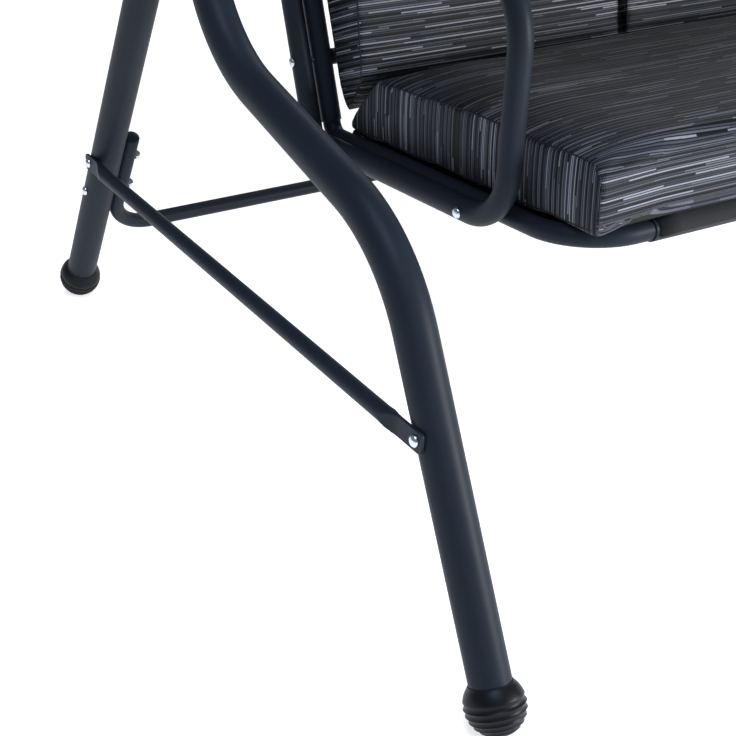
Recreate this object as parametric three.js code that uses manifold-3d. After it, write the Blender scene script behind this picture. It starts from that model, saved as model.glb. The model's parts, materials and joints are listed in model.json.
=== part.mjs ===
// A free-standing three-seat garden swing: a powder-coated tube stand with S-shaped posts, a seat that
// hangs from the top rail on two rod hangers, loose cushions, and a canopy that tilts on two knobs.
// Millimetres and degrees. X runs along the width, the seat faces -Y, Z is up from the ground.
import * as THREE from "three";
import { mergeVertices } from "three/addons/utils/BufferGeometryUtils.js";
import Module from "manifold-3d";

const wasm = await Module();
wasm.setup();

// Driving dimensions
const gap = 0.3; // left between pieces that touch
const postSpacing = 2190; // between the two end frames, axis to axis
const standDepth = 1264; // between the front and rear foot centres
const railHeight = 1520; // axis of the top rail
const standTube = { radius: 25, wall: 1.6 };
const seatTube = { radius: 14, wall: 1.5 }; // slides into sleeveTube
const sleeveWall = 1.7;
const sleeveTube = { radius: seatTube.radius + gap + sleeveWall, wall: sleeveWall };
const braceTube = { radius: 10.75, flat: 4 };
const stretcherTube = { radius: 12.5, wall: 1.5 };
const canopyTube = { radius: 11, wall: 1.2 };
const canopySleeve = { radius: canopyTube.radius + 2 * gap + canopyTube.wall, wall: canopyTube.wall };

// End frames, each in its own plane of constant X
const footRadius = 36;
const footCentreHeight = 34; // under the radius, so that the foot has a flat underneath
const footSocket = 8; // the tube goes this far past the foot's centre
const lowerPostAngle = 62.4; // above the horizontal
const lowerPostLength = 520.6; // foot centre to the corner of the lower bend
const shoulderAngle = 13.6;
const shoulderLength = 492; // corner to corner
const upperPostAngle = 89.4;
const kneeRadius = 222;
const shoulderRadius = 211;
const legJointHeight = 917.475; // where the rear leg meets the post's axis
const railLegHeight = 150; // the rail's turned-down ends, from its axis to the joints with the posts
const jointHeight = railHeight - railLegHeight;
const spigotLength = 65;
const railBend = 80;
const braceHeight = 307;
const stretcherHeight = 146;
const stretcherBoltHeight = 246;
const stretcherTop = 346;
const stretcherBend = 75;

// Seat
const armSpacing = 1640; // between the two arm loops, axis to axis
const seatTilt = 4; // falls to the rear
const backTilt = 21; // leans back from the vertical
const frontRailY = -328;
const frontRailZ = 400;
const frontSleeveInset = 21; // from the corner bends to the ends of the wide front rail
const overlapLength = 60; // of tubes that slide into each other
const cornerRadius = 90;
const rearCornerRadius = 26;
const uprightY = 278; // axis of the back upright at its lower end
const uprightZ = 379;
const backFrameTop = 930;
const backCornerRadius = 90;
const armFrontY = -224;
const armGap = 4; // between the arm loop and the seat side
const armTopZ = 715;
const armBottomRadius = 80;
const armFrontRadius = 95;
const armRearRadius = 70;
const frontArmBoltY = -142;
const rearArmBoltZ = 470;
const hangerFrontY = -110;
const hangerRearY = 300;
const pivotDrop = 60; // swing pivot below the rail's axis
const pivotSetback = 18; // and behind it, over the middle of the seat's weight
const hangerRod = 6;
const rearRailY = 225;
const slingThickness = 2.5;
const slingInset = 29; // of each of the seat sling's edges from the seat side's axis

// Cushions
const cushionInset = 8; // of each end of the seat cushion from the seat side's axis
const cushionThickness = 88;
const cushionCrown = 14;
const cushionFrontY = -350;
const backCushionThickness = 91;
const backCushionLength = 545;
const backCushionSpacing = 8;
const backCushionInset = 12; // of the row of back cushions, likewise

// Canopy
const canopyHalfDepth = 570;
const canopyEdgeRise = 65; // its straight edges above the top rail
const canopyEdgeHeight = railHeight + canopyEdgeRise;
const canopyForward = 60; // its middle stands in front of the pivot
const canopyRise = 170; // corner of the arch above its ends
const canopyArchRadius = 1500;
const canopyCornerRadius = 40;
const canopyPivotRise = 35; // above the rail's joint
const canopyPivotHeight = jointHeight + canopyPivotRise;
const canopyInset = 95; // how far the turned-in ends reach
const canopyPlate = 6;
const clothThickness = 3;
const clothClearance = 2;
const valance = 125;

// Smaller details
const neckLength = 12; // swaged down below the spigot
const legBoltReach = 42; // of each leg bolt along the post, from the joint
const forkThickness = 3.5;
const forkReach = 120;
const forkMargin = 24; // of the fork's ears past the bolts
const forkTail = 150;
const ribDepth = 2;
const ribSteps = 8;
const ribRise = 130; // degrees of the ball's profile, from its lowest point
const ribStart = -45; // below this the ball is smooth, so that it stands on a whole flat
const tipWidth = 13; // half the width of a pressed brace end
const tipBlunt = 3;
const flatLength = 32;
const fadeLength = 34; // from the pressed end to the round tube
const fadeSteps = 4;
const boltInsert = 4; // a threaded insert holds the nut this far inside the wall
const footSectors = 12;
const standSectors = 14; // sides of the stand tubes
const seatSectors = 12; // and of the seat tubes
const collarWall = 2;
const collarHeight = 28;
const bracketWall = 4;
const bracketGap = 26; // between the two ears
const bracketFoot = 15;
const eyeRadius = 12;
const eyeLength = 22;
const tabThickness = 5;
const tabWidth = 12;
const tabReach = 34; // the rod starts this far above the tab's bolt
const supportDrop = 6;
const supportRadius = 10;
const cushionRearY = 232;
const backCushionLift = 20; // lower end of the back cushions above the upright's lower end
const cushionClearance = 1; // over the seat sling
const backCushionClearance = 1.2; // in front of the back sling
const backSlingInset = 94;
const slingWrap = 110; // degrees that each sling goes round a rail
const webSpread = 80;
const bossRadius = 13;
const knobHeight = 16;
const knobReach = 22;

// Fasteners, by shank radius
const bolt = { shank: 4, head: 7.5, headHeight: 5, nut: 7.5, nutHeight: 6.5, tail: 2.5 };
const pin = { shank: 5, head: 9, headHeight: 5, nut: 9.5, nutHeight: 8, tail: 3 };
const holeClearance = 0.3;
const lock = 45; // degrees, how far the canopy knobs' wings are turned at rest

const rad = THREE.MathUtils.degToRad;
const vec = (x, y, z) => new THREE.Vector3(x, y, z);
const along = (point, direction, distance) => point.clone().addScaledVector(direction, distance);
const sides = [
  ["left", -1],
  ["right", 1],
];
const sideX = vec(1, 0, 0);

// Materials
const powderCoat = { color: 0x3a444d, roughness: 0.42, metalness: 0.55 };
const darkCoat = { color: 0x24292e, roughness: 0.5, metalness: 0.5 };
const blackPlastic = { color: 0x101214, roughness: 0.7, metalness: 0 };
const zinc = { color: 0xb9c4cc, roughness: 0.3, metalness: 0.9 };
const slingCloth = { color: 0x15171a, roughness: 0.9, metalness: 0 };
const stripedCloth = { color: 0x4c4f57, roughness: 0.85, metalness: 0 };
const canopyCloth = { color: 0x2d3036, roughness: 0.85, metalness: 0 };

// A closed three.js geometry as a solid for joining and cutting
function solidOf(geometry) {
  const bare = geometry.index ? geometry.toNonIndexed() : geometry.clone();
  bare.deleteAttribute("normal");
  bare.deleteAttribute("uv");
  const merged = mergeVertices(bare, 1e-4);
  return new wasm.Manifold(
    new wasm.Mesh({
      numProp: 3,
      vertProperties: merged.attributes.position.array,
      triVerts: new Uint32Array(merged.index.array),
    }),
  );
}

// A named mesh of a solid
function piece(name, solid, material) {
  const mesh = solid.getMesh();
  const geometry = new THREE.BufferGeometry();
  geometry.setAttribute("position", new THREE.BufferAttribute(mesh.vertProperties, 3));
  geometry.setIndex(new THREE.BufferAttribute(mesh.triVerts, 1));
  geometry.computeVertexNormals();
  const made = new THREE.Mesh(geometry, new THREE.MeshStandardMaterial(material));
  made.name = name;
  return made;
}

// A route of straight runs and round bends, sampled only where it bends
class BentPath extends THREE.Curve {
  constructor(stations) {
    super();
    this.stations = stations;
  }
  stationAt(share) {
    return this.stations[Math.round(share * (this.stations.length - 1))];
  }
  getPointAt(share) {
    return this.stationAt(share).point.clone();
  }
  getTangentAt(share) {
    return this.stationAt(share).tangent.clone();
  }
}

// corners are joined by straight runs, and each inner corner is rounded to its own radius
function bentPath(corners, radii, degreesPerStep) {
  const heading = (i) => corners[i + 1].clone().sub(corners[i]).normalize();
  const stations = [{ point: corners[0], tangent: heading(0) }];
  for (let i = 1; i < corners.length - 1; i++) {
    const before = heading(i - 1);
    const after = heading(i);
    const turn = before.angleTo(after);
    const radius = radii[i - 1];
    const start = along(corners[i], before, -radius * Math.tan(turn / 2));
    const inward = along(after, before, -Math.cos(turn)).normalize();
    const steps = Math.max(2, Math.ceil(turn / rad(degreesPerStep)));
    for (let k = 0; k <= steps; k++) {
      const angle = (turn * k) / steps;
      const forward = along(start, before, radius * Math.sin(angle));
      const point = along(forward, inward, radius * (1 - Math.cos(angle)));
      const tangent = before.clone().multiplyScalar(Math.cos(angle));
      tangent.addScaledVector(inward, Math.sin(angle));
      stations.push({ point, tangent });
    }
  }
  const last = corners.length - 1;
  stations.push({ point: corners[last], tangent: heading(last - 1) });
  return new BentPath(stations);
}

// A solid round bar along a route; with hollow set, its flats and not its corners are at the radius
function bar(corners, radii, radius, { sectors = 12, degreesPerStep = 20, hollow = false } = {}) {
  const circle = new THREE.Shape();
  circle.absarc(0, 0, hollow ? radius / Math.cos(Math.PI / sectors) : radius, 0, 2 * Math.PI);
  const path = bentPath(corners, radii, degreesPerStep);
  const steps = path.stations.length - 1;
  const curveSegments = sectors / 2;
  return solidOf(
    new THREE.ExtrudeGeometry(circle, { steps, curveSegments, extrudePath: path, bevelEnabled: false }),
  );
}

// The same route run past both ends, so that what it cuts is left open there
function overrun(corners, distance) {
  const last = corners.length - 1;
  const first = corners[0].clone().sub(corners[1]).normalize();
  const final = corners[last].clone().sub(corners[last - 1]).normalize();
  const inner = corners.slice(1, last);
  return [along(corners[0], first, distance), ...inner, along(corners[last], final, distance)];
}

// An open-ended tube along a route; socket is how far another tube with the same flats slides into each end
function pipe(corners, radii, tube, look = {}) {
  const inner = tube.radius - tube.wall;
  const open = overrun(corners, 1);
  const cavity = bar(open, radii, inner, { ...look, sectors: 8 });
  let made = bar(corners, radii, tube.radius, look).subtract(cavity);
  if (look.socket) {
    for (const [end, next] of [
      [open[0], open[1]],
      [open[open.length - 1], open[open.length - 2]],
    ]) {
      const deep = along(end, next.clone().sub(end).normalize(), look.socket + 1);
      made = made.subtract(bar([end, deep], [], inner, { sectors: look.sectors, hollow: true }));
    }
  }
  return made;
}

// A drilled hole across a point
function hole(point, direction, radius, reach) {
  const ends = [along(point, direction, -reach), along(point, direction, reach)];
  return bar(ends, [], radius, { sectors: 6, hollow: true });
}

// A turned shape: profile is [radius, height] pairs, its axis is laid along a direction from a point
function turned(profile, point, direction, segments) {
  const lathe = new THREE.LatheGeometry(
    profile.map(([r, h]) => new THREE.Vector2(r, h)),
    segments,
  );
  const turn = new THREE.Quaternion().setFromUnitVectors(vec(0, 1, 0), direction);
  lathe.applyQuaternion(turn);
  lathe.translate(point.x, point.y, point.z);
  return solidOf(lathe);
}

// A plate in a plane of constant X, from x to x + thickness; outline and holes are drawn in [y, z]
function plate(shape, x, thickness, curveSegments = 8) {
  const extruded = new THREE.ExtrudeGeometry(shape, { depth: thickness, curveSegments, bevelEnabled: false });
  const axes = new THREE.Matrix4().makeBasis(vec(0, 1, 0), vec(0, 0, 1), vec(1, 0, 0));
  extruded.applyMatrix4(axes);
  extruded.translate(x, 0, 0);
  return solidOf(extruded);
}

function polygon(points) {
  return new THREE.Shape(points.map(([y, z]) => new THREE.Vector2(y, z)));
}

// A domed bolt with its nut: it starts at seat, and the pieces that it clamps are grip thick
function throughBolt(name, seat, direction, grip, size) {
  const dome = [];
  const domeSteps = 2;
  for (let i = 0; i <= domeSteps; i++) {
    const angle = rad(90 * (i / domeSteps));
    dome.push([size.head * Math.sin(angle), -gap - size.headHeight * Math.cos(angle)]);
  }
  dome[0][0] = 0;
  const end = grip + gap + size.nutHeight + size.tail;
  const shank = turned([...dome, [size.shank, -gap], [size.shank, end], [0, end]], seat, direction, 6);
  const nutShape = new THREE.CylinderGeometry(size.nut, size.nut, size.nutHeight, 6);
  const middle = along(seat, direction, grip + gap + size.nutHeight / 2);
  nutShape.applyQuaternion(new THREE.Quaternion().setFromUnitVectors(vec(0, 1, 0), direction));
  nutShape.translate(middle.x, middle.y, middle.z);
  return piece(name, shank.add(solidOf(nutShape)), zinc);
}

const boltHole = bolt.shank + holeClearance;
const pinHole = pin.shank + holeClearance;

// The end frame's axes, in the plane of one post
const upward = (angle) => vec(0, Math.cos(rad(angle)), Math.sin(rad(angle)));
const lowerPost = upward(lowerPostAngle);
const shoulder = upward(shoulderAngle);
const upperPost = upward(upperPostAngle);
const postX = postSpacing / 2;
const postFoot = vec(0, -standDepth / 2, footCentreHeight);
const rearFoot = vec(0, standDepth / 2, footCentreHeight);
const knee = along(postFoot, lowerPost, lowerPostLength);
const shoulderCorner = along(knee, shoulder, shoulderLength);
const atHeight = (point, direction, height) => along(point, direction, (height - point.z) / direction.z);
const postTop = atHeight(shoulderCorner, upperPost, jointHeight);
const railAxis = atHeight(shoulderCorner, upperPost, railHeight);
const canopyPivot = atHeight(shoulderCorner, upperPost, canopyPivotHeight);
const swingPivot = vec(0, railAxis.y + pivotSetback, railHeight - pivotDrop);
const shiftX = (point, x) => vec(x, point.y, point.z);

const joint = atHeight(shoulderCorner, upperPost, legJointHeight);
const rearLegUp = joint.clone().sub(rearFoot).normalize();
const legBolts = [
  ["upper", along(joint, upperPost, legBoltReach)],
  ["lower", along(joint, upperPost, -legBoltReach)],
];

function postRoute(x) {
  const start = along(postFoot, lowerPost, -footSocket + gap);
  return [start, knee, shoulderCorner, postTop].map((point) => shiftX(point, x));
}

function frontPost(side, x) {
  const route = postRoute(x);
  const radii = [kneeRadius, shoulderRadius];
  const look = { sectors: standSectors, degreesPerStep: 14 };
  const boreLook = { sectors: 8, degreesPerStep: 14 };
  const [start, kneeCorner, upperCorner, top] = route;
  const neck = along(top, upperPost, -neckLength);
  const spigotEnd = along(top, upperPost, spigotLength);
  const spigotRadius = standTube.radius - standTube.wall - gap;
  const outside = bar(route, radii, standTube.radius, look).add(
    bar([neck, spigotEnd], [], spigotRadius, { sectors: standSectors }),
  );
  const wideBore = [along(start, lowerPost, -1), kneeCorner, upperCorner, neck];
  const narrowBore = [along(neck, upperPost, -1), along(spigotEnd, upperPost, 1)];
  let post = outside
    .subtract(bar(wideBore, radii, standTube.radius - standTube.wall, boreLook))
    .subtract(bar(narrowBore, [], spigotRadius - standTube.wall, boreLook));
  for (const point of [legBolts[0][1], legBolts[1][1], canopyPivot]) {
    post = post.subtract(hole(shiftX(point, x), sideX, boltHole, standTube.radius + 5));
  }
  const braceBolt = atHeight(postFoot, lowerPost, braceHeight);
  post = post.subtract(hole(shiftX(braceBolt, x + Math.sign(x) * standTube.radius), sideX, boltHole, 5));
  return piece("front_post_" + side, post, powderCoat);
}

// The rear leg ends in a welded fork that straddles the post
function rearLeg(side, x) {
  const start = shiftX(along(rearFoot, rearLegUp, -footSocket + gap), x);
  const end = shiftX(joint, x);
  const postEnds = [along(end, upperPost, -forkReach), along(end, upperPost, forkReach)];
  const postShape = bar(postEnds, [], standTube.radius + gap, { sectors: standSectors, hollow: true });
  const leg = pipe([start, end], [], standTube, { sectors: standSectors });
  const inner = standTube.radius - 1;
  const outer = standTube.radius + gap + forkThickness;
  const top = along(joint, upperPost, legBoltReach + forkMargin);
  const bottom = along(joint, upperPost, -legBoltReach - forkMargin);
  const tail = along(joint, rearLegUp, -forkTail);
  const half = standTube.radius - 3;
  const rearward = vec(0, upperPost.z, -upperPost.y);
  const outline = [
    along(top, rearward, -half),
    along(bottom, rearward, -half),
    along(tail, rearward, -half / 2),
    along(tail, rearward, half),
    along(top, rearward, half),
  ];
  const ear = polygon(outline.map((p) => [p.y, p.z]));
  const ears = plate(ear, x - outer, outer - inner).add(plate(ear, x + inner, outer - inner));
  let solid = leg.add(ears).subtract(postShape);
  const lowerHoles = [braceHeight, stretcherBoltHeight].map((z) => atHeight(rearFoot, rearLegUp, z));
  for (const point of [...lowerHoles, legBolts[0][1], legBolts[1][1]]) {
    solid = solid.subtract(hole(shiftX(point, x), sideX, boltHole, outer + 5));
  }
  return piece("rear_leg_" + side, solid, powderCoat);
}

// A ribbed plastic ball that the tube stands in, cut flat where it meets the ground
function footCap(name, centre, legUp, x) {
  const ribs = [];
  for (let i = 1; i <= ribSteps; i++) {
    const angle = (ribRise * i) / ribSteps - 90;
    const groove = i % 2 === 0 && angle > ribStart;
    const radius = footRadius - (groove ? ribDepth : 0);
    ribs.push([radius * Math.cos(rad(angle)), radius * Math.sin(rad(angle))]);
  }
  const bore = (standTube.radius + gap) / Math.cos(Math.PI / footSectors);
  const collar = [
    [standTube.radius + collarWall, collarHeight],
    [bore, collarHeight],
    [bore, -footSocket],
    [0, -footSocket],
  ];
  const cap = turned([[0, -footRadius], ...ribs, ...collar], shiftX(centre, x), legUp, footSectors);
  const ground = plate(
    polygon([
      [centre.y - 2 * footRadius, -2 * footRadius],
      [centre.y + 2 * footRadius, -2 * footRadius],
      [centre.y + 2 * footRadius, 0],
      [centre.y - 2 * footRadius, 0],
    ]),
    x - 2 * footRadius,
    4 * footRadius,
  );
  return piece(name, cap.subtract(ground), blackPlastic);
}

// A round tube whose ends are pressed flat and rounded off for a bolt
function sideBrace(side, x, sign) {
  const front = atHeight(postFoot, lowerPost, braceHeight);
  const rear = atHeight(rearFoot, rearLegUp, braceHeight);
  const across = x + sign * (standTube.radius + gap + braceTube.flat / 2);
  const length = rear.y - front.y;
  const profile = new THREE.Shape();
  profile.absarc(0, 0, 1, 0, 2 * Math.PI);
  const stops = [-tipWidth, -0.86 * tipWidth, -0.5 * tipWidth, 0, flatLength];
  for (let i = 1; i <= fadeSteps; i++) stops.push(flatLength + (fadeLength * i) / fadeSteps);
  const places = [...stops, ...stops.map((s) => length - s).reverse()];
  const tangent = vec(0, 1, 0);
  const stations = places.map((s) => ({ point: vec(across, front.y + s, braceHeight), tangent }));
  const steps = stations.length - 1;
  const path = new BentPath(stations);
  const geometry = new THREE.ExtrudeGeometry(profile, {
    steps,
    curveSegments: 6,
    extrudePath: path,
    bevelEnabled: false,
  });
  const position = geometry.attributes.position;
  const smooth = (t) => t * t * (3 - 2 * t);
  for (let i = 0; i < position.count; i++) {
    const s = position.getY(i) - front.y;
    const fromEnd = Math.min(s, length - s);
    const fade = smooth(THREE.MathUtils.clamp((fromEnd - flatLength) / fadeLength, 0, 1));
    const thick = THREE.MathUtils.lerp(braceTube.flat / 2, braceTube.radius, fade);
    let wide = THREE.MathUtils.lerp(tipWidth, braceTube.radius, fade);
    if (fromEnd < 0) wide = Math.sqrt(Math.max(tipBlunt ** 2, tipWidth ** 2 - fromEnd ** 2));
    position.setX(i, across + (position.getX(i) - across) * thick);
    position.setZ(i, braceHeight + (position.getZ(i) - braceHeight) * wide);
  }
  let brace = solidOf(geometry);
  for (const point of [front, rear]) {
    brace = brace.subtract(hole(shiftX(point, across), sideX, boltHole, braceTube.flat));
  }
  return piece("side_brace_" + side, brace, powderCoat);
}

// The rear stretcher's ends turn up along the inner faces of the rear legs
function rearStretcher() {
  const inside = postX - standTube.radius - gap - stretcherTube.radius;
  const top = atHeight(rearFoot, rearLegUp, stretcherTop);
  const corner = atHeight(rearFoot, rearLegUp, stretcherHeight);
  const route = [shiftX(top, -inside), shiftX(corner, -inside), shiftX(corner, inside), shiftX(top, inside)];
  const bends = [stretcherBend, stretcherBend];
  let solid = pipe(route, bends, stretcherTube);
  for (const height of [braceHeight, stretcherBoltHeight]) {
    const point = atHeight(rearFoot, rearLegUp, height);
    for (const x of [-inside, inside]) {
      solid = solid.subtract(hole(shiftX(point, x), sideX, boltHole, stretcherTube.radius + 2));
    }
  }
  return piece("rear_stretcher", solid, powderCoat);
}

// An upside-down U whose ends slip over the posts
function topRail() {
  const end = along(postTop, upperPost, gap);
  const route = [shiftX(end, -postX), shiftX(railAxis, -postX), shiftX(railAxis, postX), shiftX(end, postX)];
  const look = { sectors: standSectors, socket: spigotLength + 2 };
  let rail = pipe(route, [railBend, railBend], standTube, look);
  for (const x of [-postX, postX]) {
    rail = rail.subtract(hole(shiftX(canopyPivot, x), sideX, boltHole, standTube.radius + 5));
  }
  return piece("top_rail", rail, powderCoat);
}

// Two ears on a collar round the rail, with the pivot pin between them
function swingBracket(side, x) {
  const ear = new THREE.Shape();
  const collarRadius = standTube.radius + bracketWall;
  const lean = Math.atan2(pivotSetback, pivotDrop);
  const spread = Math.asin((collarRadius - bracketFoot) / Math.hypot(pivotDrop, pivotSetback));
  const [front, rear] = [Math.PI + spread + lean, lean - spread];
  ear.absarc(railAxis.y, railHeight, collarRadius, rear, front, false);
  ear.absarc(swingPivot.y, swingPivot.z, bracketFoot, front, rear + 2 * Math.PI, false);
  const railHole = new THREE.Path();
  const earSectors = 12;
  const clearRadius = (standTube.radius + gap) / Math.cos(Math.PI / earSectors);
  railHole.absarc(railAxis.y, railHeight, clearRadius, 0, 2 * Math.PI, true);
  ear.holes.push(railHole);
  const outer = bracketGap / 2 + bracketWall;
  const near = plate(ear, x - outer, bracketWall, earSectors / 2);
  const far = plate(ear, x + bracketGap / 2, bracketWall, earSectors / 2);
  const rail = (reach) => [vec(x - reach, railAxis.y, railHeight), vec(x + reach, railAxis.y, railHeight)];
  const collar = bar(rail(outer), [], collarRadius, { sectors: earSectors }).subtract(
    bar(rail(outer + 1), [], standTube.radius + gap, { sectors: earSectors, hollow: true }),
  );
  const bracket = near.add(far).add(collar);
  const pinHoles = hole(shiftX(swingPivot, x), sideX, pinHole, outer + 1);
  return piece("swing_bracket_" + side, bracket.subtract(pinHoles), darkCoat);
}

// Two rods in a V, from the pivot's eye to flat tabs on the inside of the arm loop
function hanger(side, x, sign) {
  const plane = x - sign * (sleeveTube.radius + gap + tabThickness / 2);
  const tab = (y) => vec(plane, y, armTopZ);
  const eye = shiftX(swingPivot, plane);
  let solid = bar([along(eye, sideX, -eyeLength / 2), along(eye, sideX, eyeLength / 2)], [], eyeRadius);
  for (const y of [hangerFrontY, hangerRearY]) {
    const up = eye.clone().sub(tab(y)).normalize();
    const rod = [along(tab(y), up, tabReach), along(eye, up, -pinHole - 2)];
    solid = solid.add(bar(rod, [], hangerRod, { sectors: 12 }));
    const across = vec(0, up.z, -up.y);
    const low = along(tab(y), up, -tabWidth);
    const high = along(tab(y), up, tabReach + tabWidth);
    const outline = [
      along(along(tab(y), up, -0.7 * tabWidth), across, -0.7 * tabWidth),
      low,
      along(along(tab(y), up, -0.7 * tabWidth), across, 0.7 * tabWidth),
      along(tab(y), across, tabWidth),
      along(high, across, 0.4 * tabWidth),
      along(high, across, -0.4 * tabWidth),
      along(tab(y), across, -tabWidth),
    ];
    solid = solid.add(plate(polygon(outline.map((p) => [p.y, p.z])), plane - tabThickness / 2, tabThickness));
    solid = solid.subtract(hole(tab(y), sideX, boltHole, tabThickness));
  }
  return piece("hanger_" + side, solid.subtract(hole(eye, sideX, pinHole, eyeLength)), darkCoat);
}

// Lines of the seat in a plane of constant X
const seatAlong = vec(0, Math.cos(rad(seatTilt)), -Math.sin(rad(seatTilt)));
const backUp = vec(0, Math.sin(rad(backTilt)), Math.cos(rad(backTilt)));
const armX = armSpacing / 2;
const seatSideX = armX - 2 * sleeveTube.radius - armGap;
const frontSleeveHalf = seatSideX - cornerRadius - frontSleeveInset;
const cushionHalfWidth = seatSideX - cushionInset;
const backCushionHalfSpan = seatSideX - backCushionInset;
const frontRail = vec(0, frontRailY, frontRailZ);
const uprightEnd = vec(0, uprightY, uprightZ);
const atDepth = (y) => along(frontRail, seatAlong, (y - frontRailY) / seatAlong.y);
const rearRail = atDepth(rearRailY);
const upright = (z) => atHeight(uprightEnd, backUp, z);

// Where the side tube's line meets the back upright's line
function sideRearCorner() {
  const offset = uprightEnd.clone().sub(frontRail);
  const across = vec(0, backUp.z, -backUp.y);
  return along(frontRail, seatAlong, offset.dot(across) / seatAlong.dot(across));
}
const rearCorner = sideRearCorner();

function armLoop(side, x) {
  const bottomRear = shiftX(rearCorner, x);
  const bottomFront = shiftX(atDepth(armFrontY), x);
  const topFront = vec(x, armFrontY, armTopZ);
  const topRear = shiftX(upright(armTopZ), x);
  const route = [bottomRear, bottomFront, topFront, topRear, bottomRear];
  const radii = [armBottomRadius, armFrontRadius, armRearRadius];
  const knuckle = new THREE.SphereGeometry(sleeveTube.radius, 12, 8);
  knuckle.translate(bottomRear.x, bottomRear.y, bottomRear.z);
  const look = { sectors: seatSectors, degreesPerStep: 20 };
  const bore = bar(route, radii, sleeveTube.radius - sleeveTube.wall, { ...look, sectors: 6 });
  let loop = bar(route, radii, sleeveTube.radius, look).add(solidOf(knuckle)).subtract(bore);
  const hangerBolts = [vec(0, hangerFrontY, armTopZ), vec(0, hangerRearY, armTopZ)];
  const holes = [atDepth(frontArmBoltY), rearRail, upright(rearArmBoltZ), ...hangerBolts];
  for (const point of holes) {
    loop = loop.subtract(hole(shiftX(point, x), sideX, boltHole, sleeveTube.radius + 2));
  }
  return piece("arm_loop_" + side, loop, powderCoat);
}

function seatSide(side, x, sign) {
  const inner = sign * (frontSleeveHalf - overlapLength);
  const route = [
    shiftX(frontRail, inner),
    shiftX(frontRail, x),
    shiftX(rearCorner, x),
    shiftX(along(uprightEnd, backUp, overlapLength), x),
  ];
  let tube = pipe(route, [cornerRadius, rearCornerRadius], seatTube, { sectors: seatSectors });
  for (const point of [atDepth(frontArmBoltY), rearRail]) {
    tube = tube.subtract(hole(shiftX(point, x), sideX, boltHole, seatTube.radius + 2));
  }
  return piece("seat_side_" + side, tube, powderCoat);
}

function seatFrontRail() {
  const ends = [shiftX(frontRail, -frontSleeveHalf), shiftX(frontRail, frontSleeveHalf)];
  const look = { sectors: seatSectors, socket: overlapLength + 2 };
  return piece("seat_front_rail", pipe(ends, [], sleeveTube, look), powderCoat);
}

// The rear rail with the centre support welded to it; the support's front end is cut to the front rail
function seatCrossFrame() {
  const reach = seatSideX - seatTube.radius - gap;
  const rail = [shiftX(rearRail, -reach), shiftX(rearRail, reach)];
  const drop = vec(0, 0, -supportDrop);
  const support = [rearRail.clone().add(drop), frontRail.clone().add(drop)];
  const rods = bar(rail, [], seatTube.radius).add(bar(support, [], supportRadius, { sectors: 12 }));
  const clear = [shiftX(frontRail, -2 * supportRadius), shiftX(frontRail, 2 * supportRadius)];
  const bore = bar(overrun(rail, 1), [], seatTube.radius - seatTube.wall, { sectors: 8 });
  const cut = bar(clear, [], sleeveTube.radius + gap, { sectors: seatSectors, hollow: true });
  return piece("seat_cross_frame", rods.subtract(bore).subtract(cut), powderCoat);
}

// An upside-down U that slips over the turned-up ends of the seat sides
function backFrame() {
  const corner = upright(backFrameTop);
  const route = [
    shiftX(uprightEnd, -seatSideX),
    shiftX(corner, -seatSideX),
    shiftX(corner, seatSideX),
    shiftX(uprightEnd, seatSideX),
  ];
  const look = { sectors: seatSectors, socket: overlapLength + 2 };
  let frame = pipe(route, [backCornerRadius, backCornerRadius], sleeveTube, look);
  for (const x of [-seatSideX, seatSideX]) {
    frame = frame.subtract(hole(shiftX(upright(rearArmBoltZ), x), sideX, boltHole, sleeveTube.radius + 2));
  }
  return piece("back_frame", frame, powderCoat);
}

function backLowerRail() {
  const reach = seatSideX - sleeveTube.radius - gap;
  const axis = upright(rearArmBoltZ);
  const ends = [shiftX(axis, -reach), shiftX(axis, reach)];
  return piece("back_lower_rail", pipe(ends, [], stretcherTube), powderCoat);
}

// A cloth stretched over two rails and wrapped round both: centres and radii are the rails', in [y, z]
function sling(name, first, second, firstRadius, secondRadius, halfWidth, wrap) {
  const between = new THREE.Vector2(second.y - first.y, second.z - first.z);
  const facing = between.angle() + Math.acos((firstRadius - secondRadius) / between.length());
  const shape = new THREE.Shape();
  const wrapAngle = rad(wrap);
  const outer = gap + slingThickness;
  shape.absarc(first.y, first.z, firstRadius + outer, facing + wrapAngle, facing, true);
  shape.absarc(second.y, second.z, secondRadius + outer, facing, facing - wrapAngle, true);
  shape.absarc(second.y, second.z, secondRadius + gap, facing - wrapAngle, facing, false);
  shape.absarc(first.y, first.z, firstRadius + gap, facing, facing + wrapAngle, false);
  return piece(name, plate(shape, -halfWidth, 2 * halfWidth, 6), slingCloth);
}

// A boxed cushion as a bar along X whose section is drawn in [y, z]
function cushion(name, outline, low, high) {
  return piece(name, plate(polygon(outline.map((p) => [p.y, p.z])), low, high - low), stripedCloth);
}

const slingTop = sleeveTube.radius + gap + slingThickness + cushionClearance;
const backCushionOffset = sleeveTube.radius + gap + slingThickness + backCushionClearance;

function seatCushion() {
  const up = vec(0, Math.sin(rad(seatTilt)), Math.cos(rad(seatTilt)));
  const base = along(frontRail, up, slingTop);
  const at = (y, height) => along(along(base, seatAlong, y - frontRailY), up, height);
  const backFace = (height) => cushionRearY - height * 0.38;
  const outline = [
    at(cushionFrontY + 10, 0),
    at(backFace(0), 0),
    at(backFace(cushionThickness), cushionThickness),
    at(backFace(cushionThickness) - 60, cushionThickness + 0.6 * cushionCrown),
    at(0, cushionThickness + cushionCrown),
    at(cushionFrontY + 60, cushionThickness + 0.6 * cushionCrown),
    at(cushionFrontY + 8, cushionThickness),
    at(cushionFrontY, cushionThickness / 2),
  ];
  return cushion("seat_cushion", outline, -cushionHalfWidth, cushionHalfWidth);
}

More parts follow.
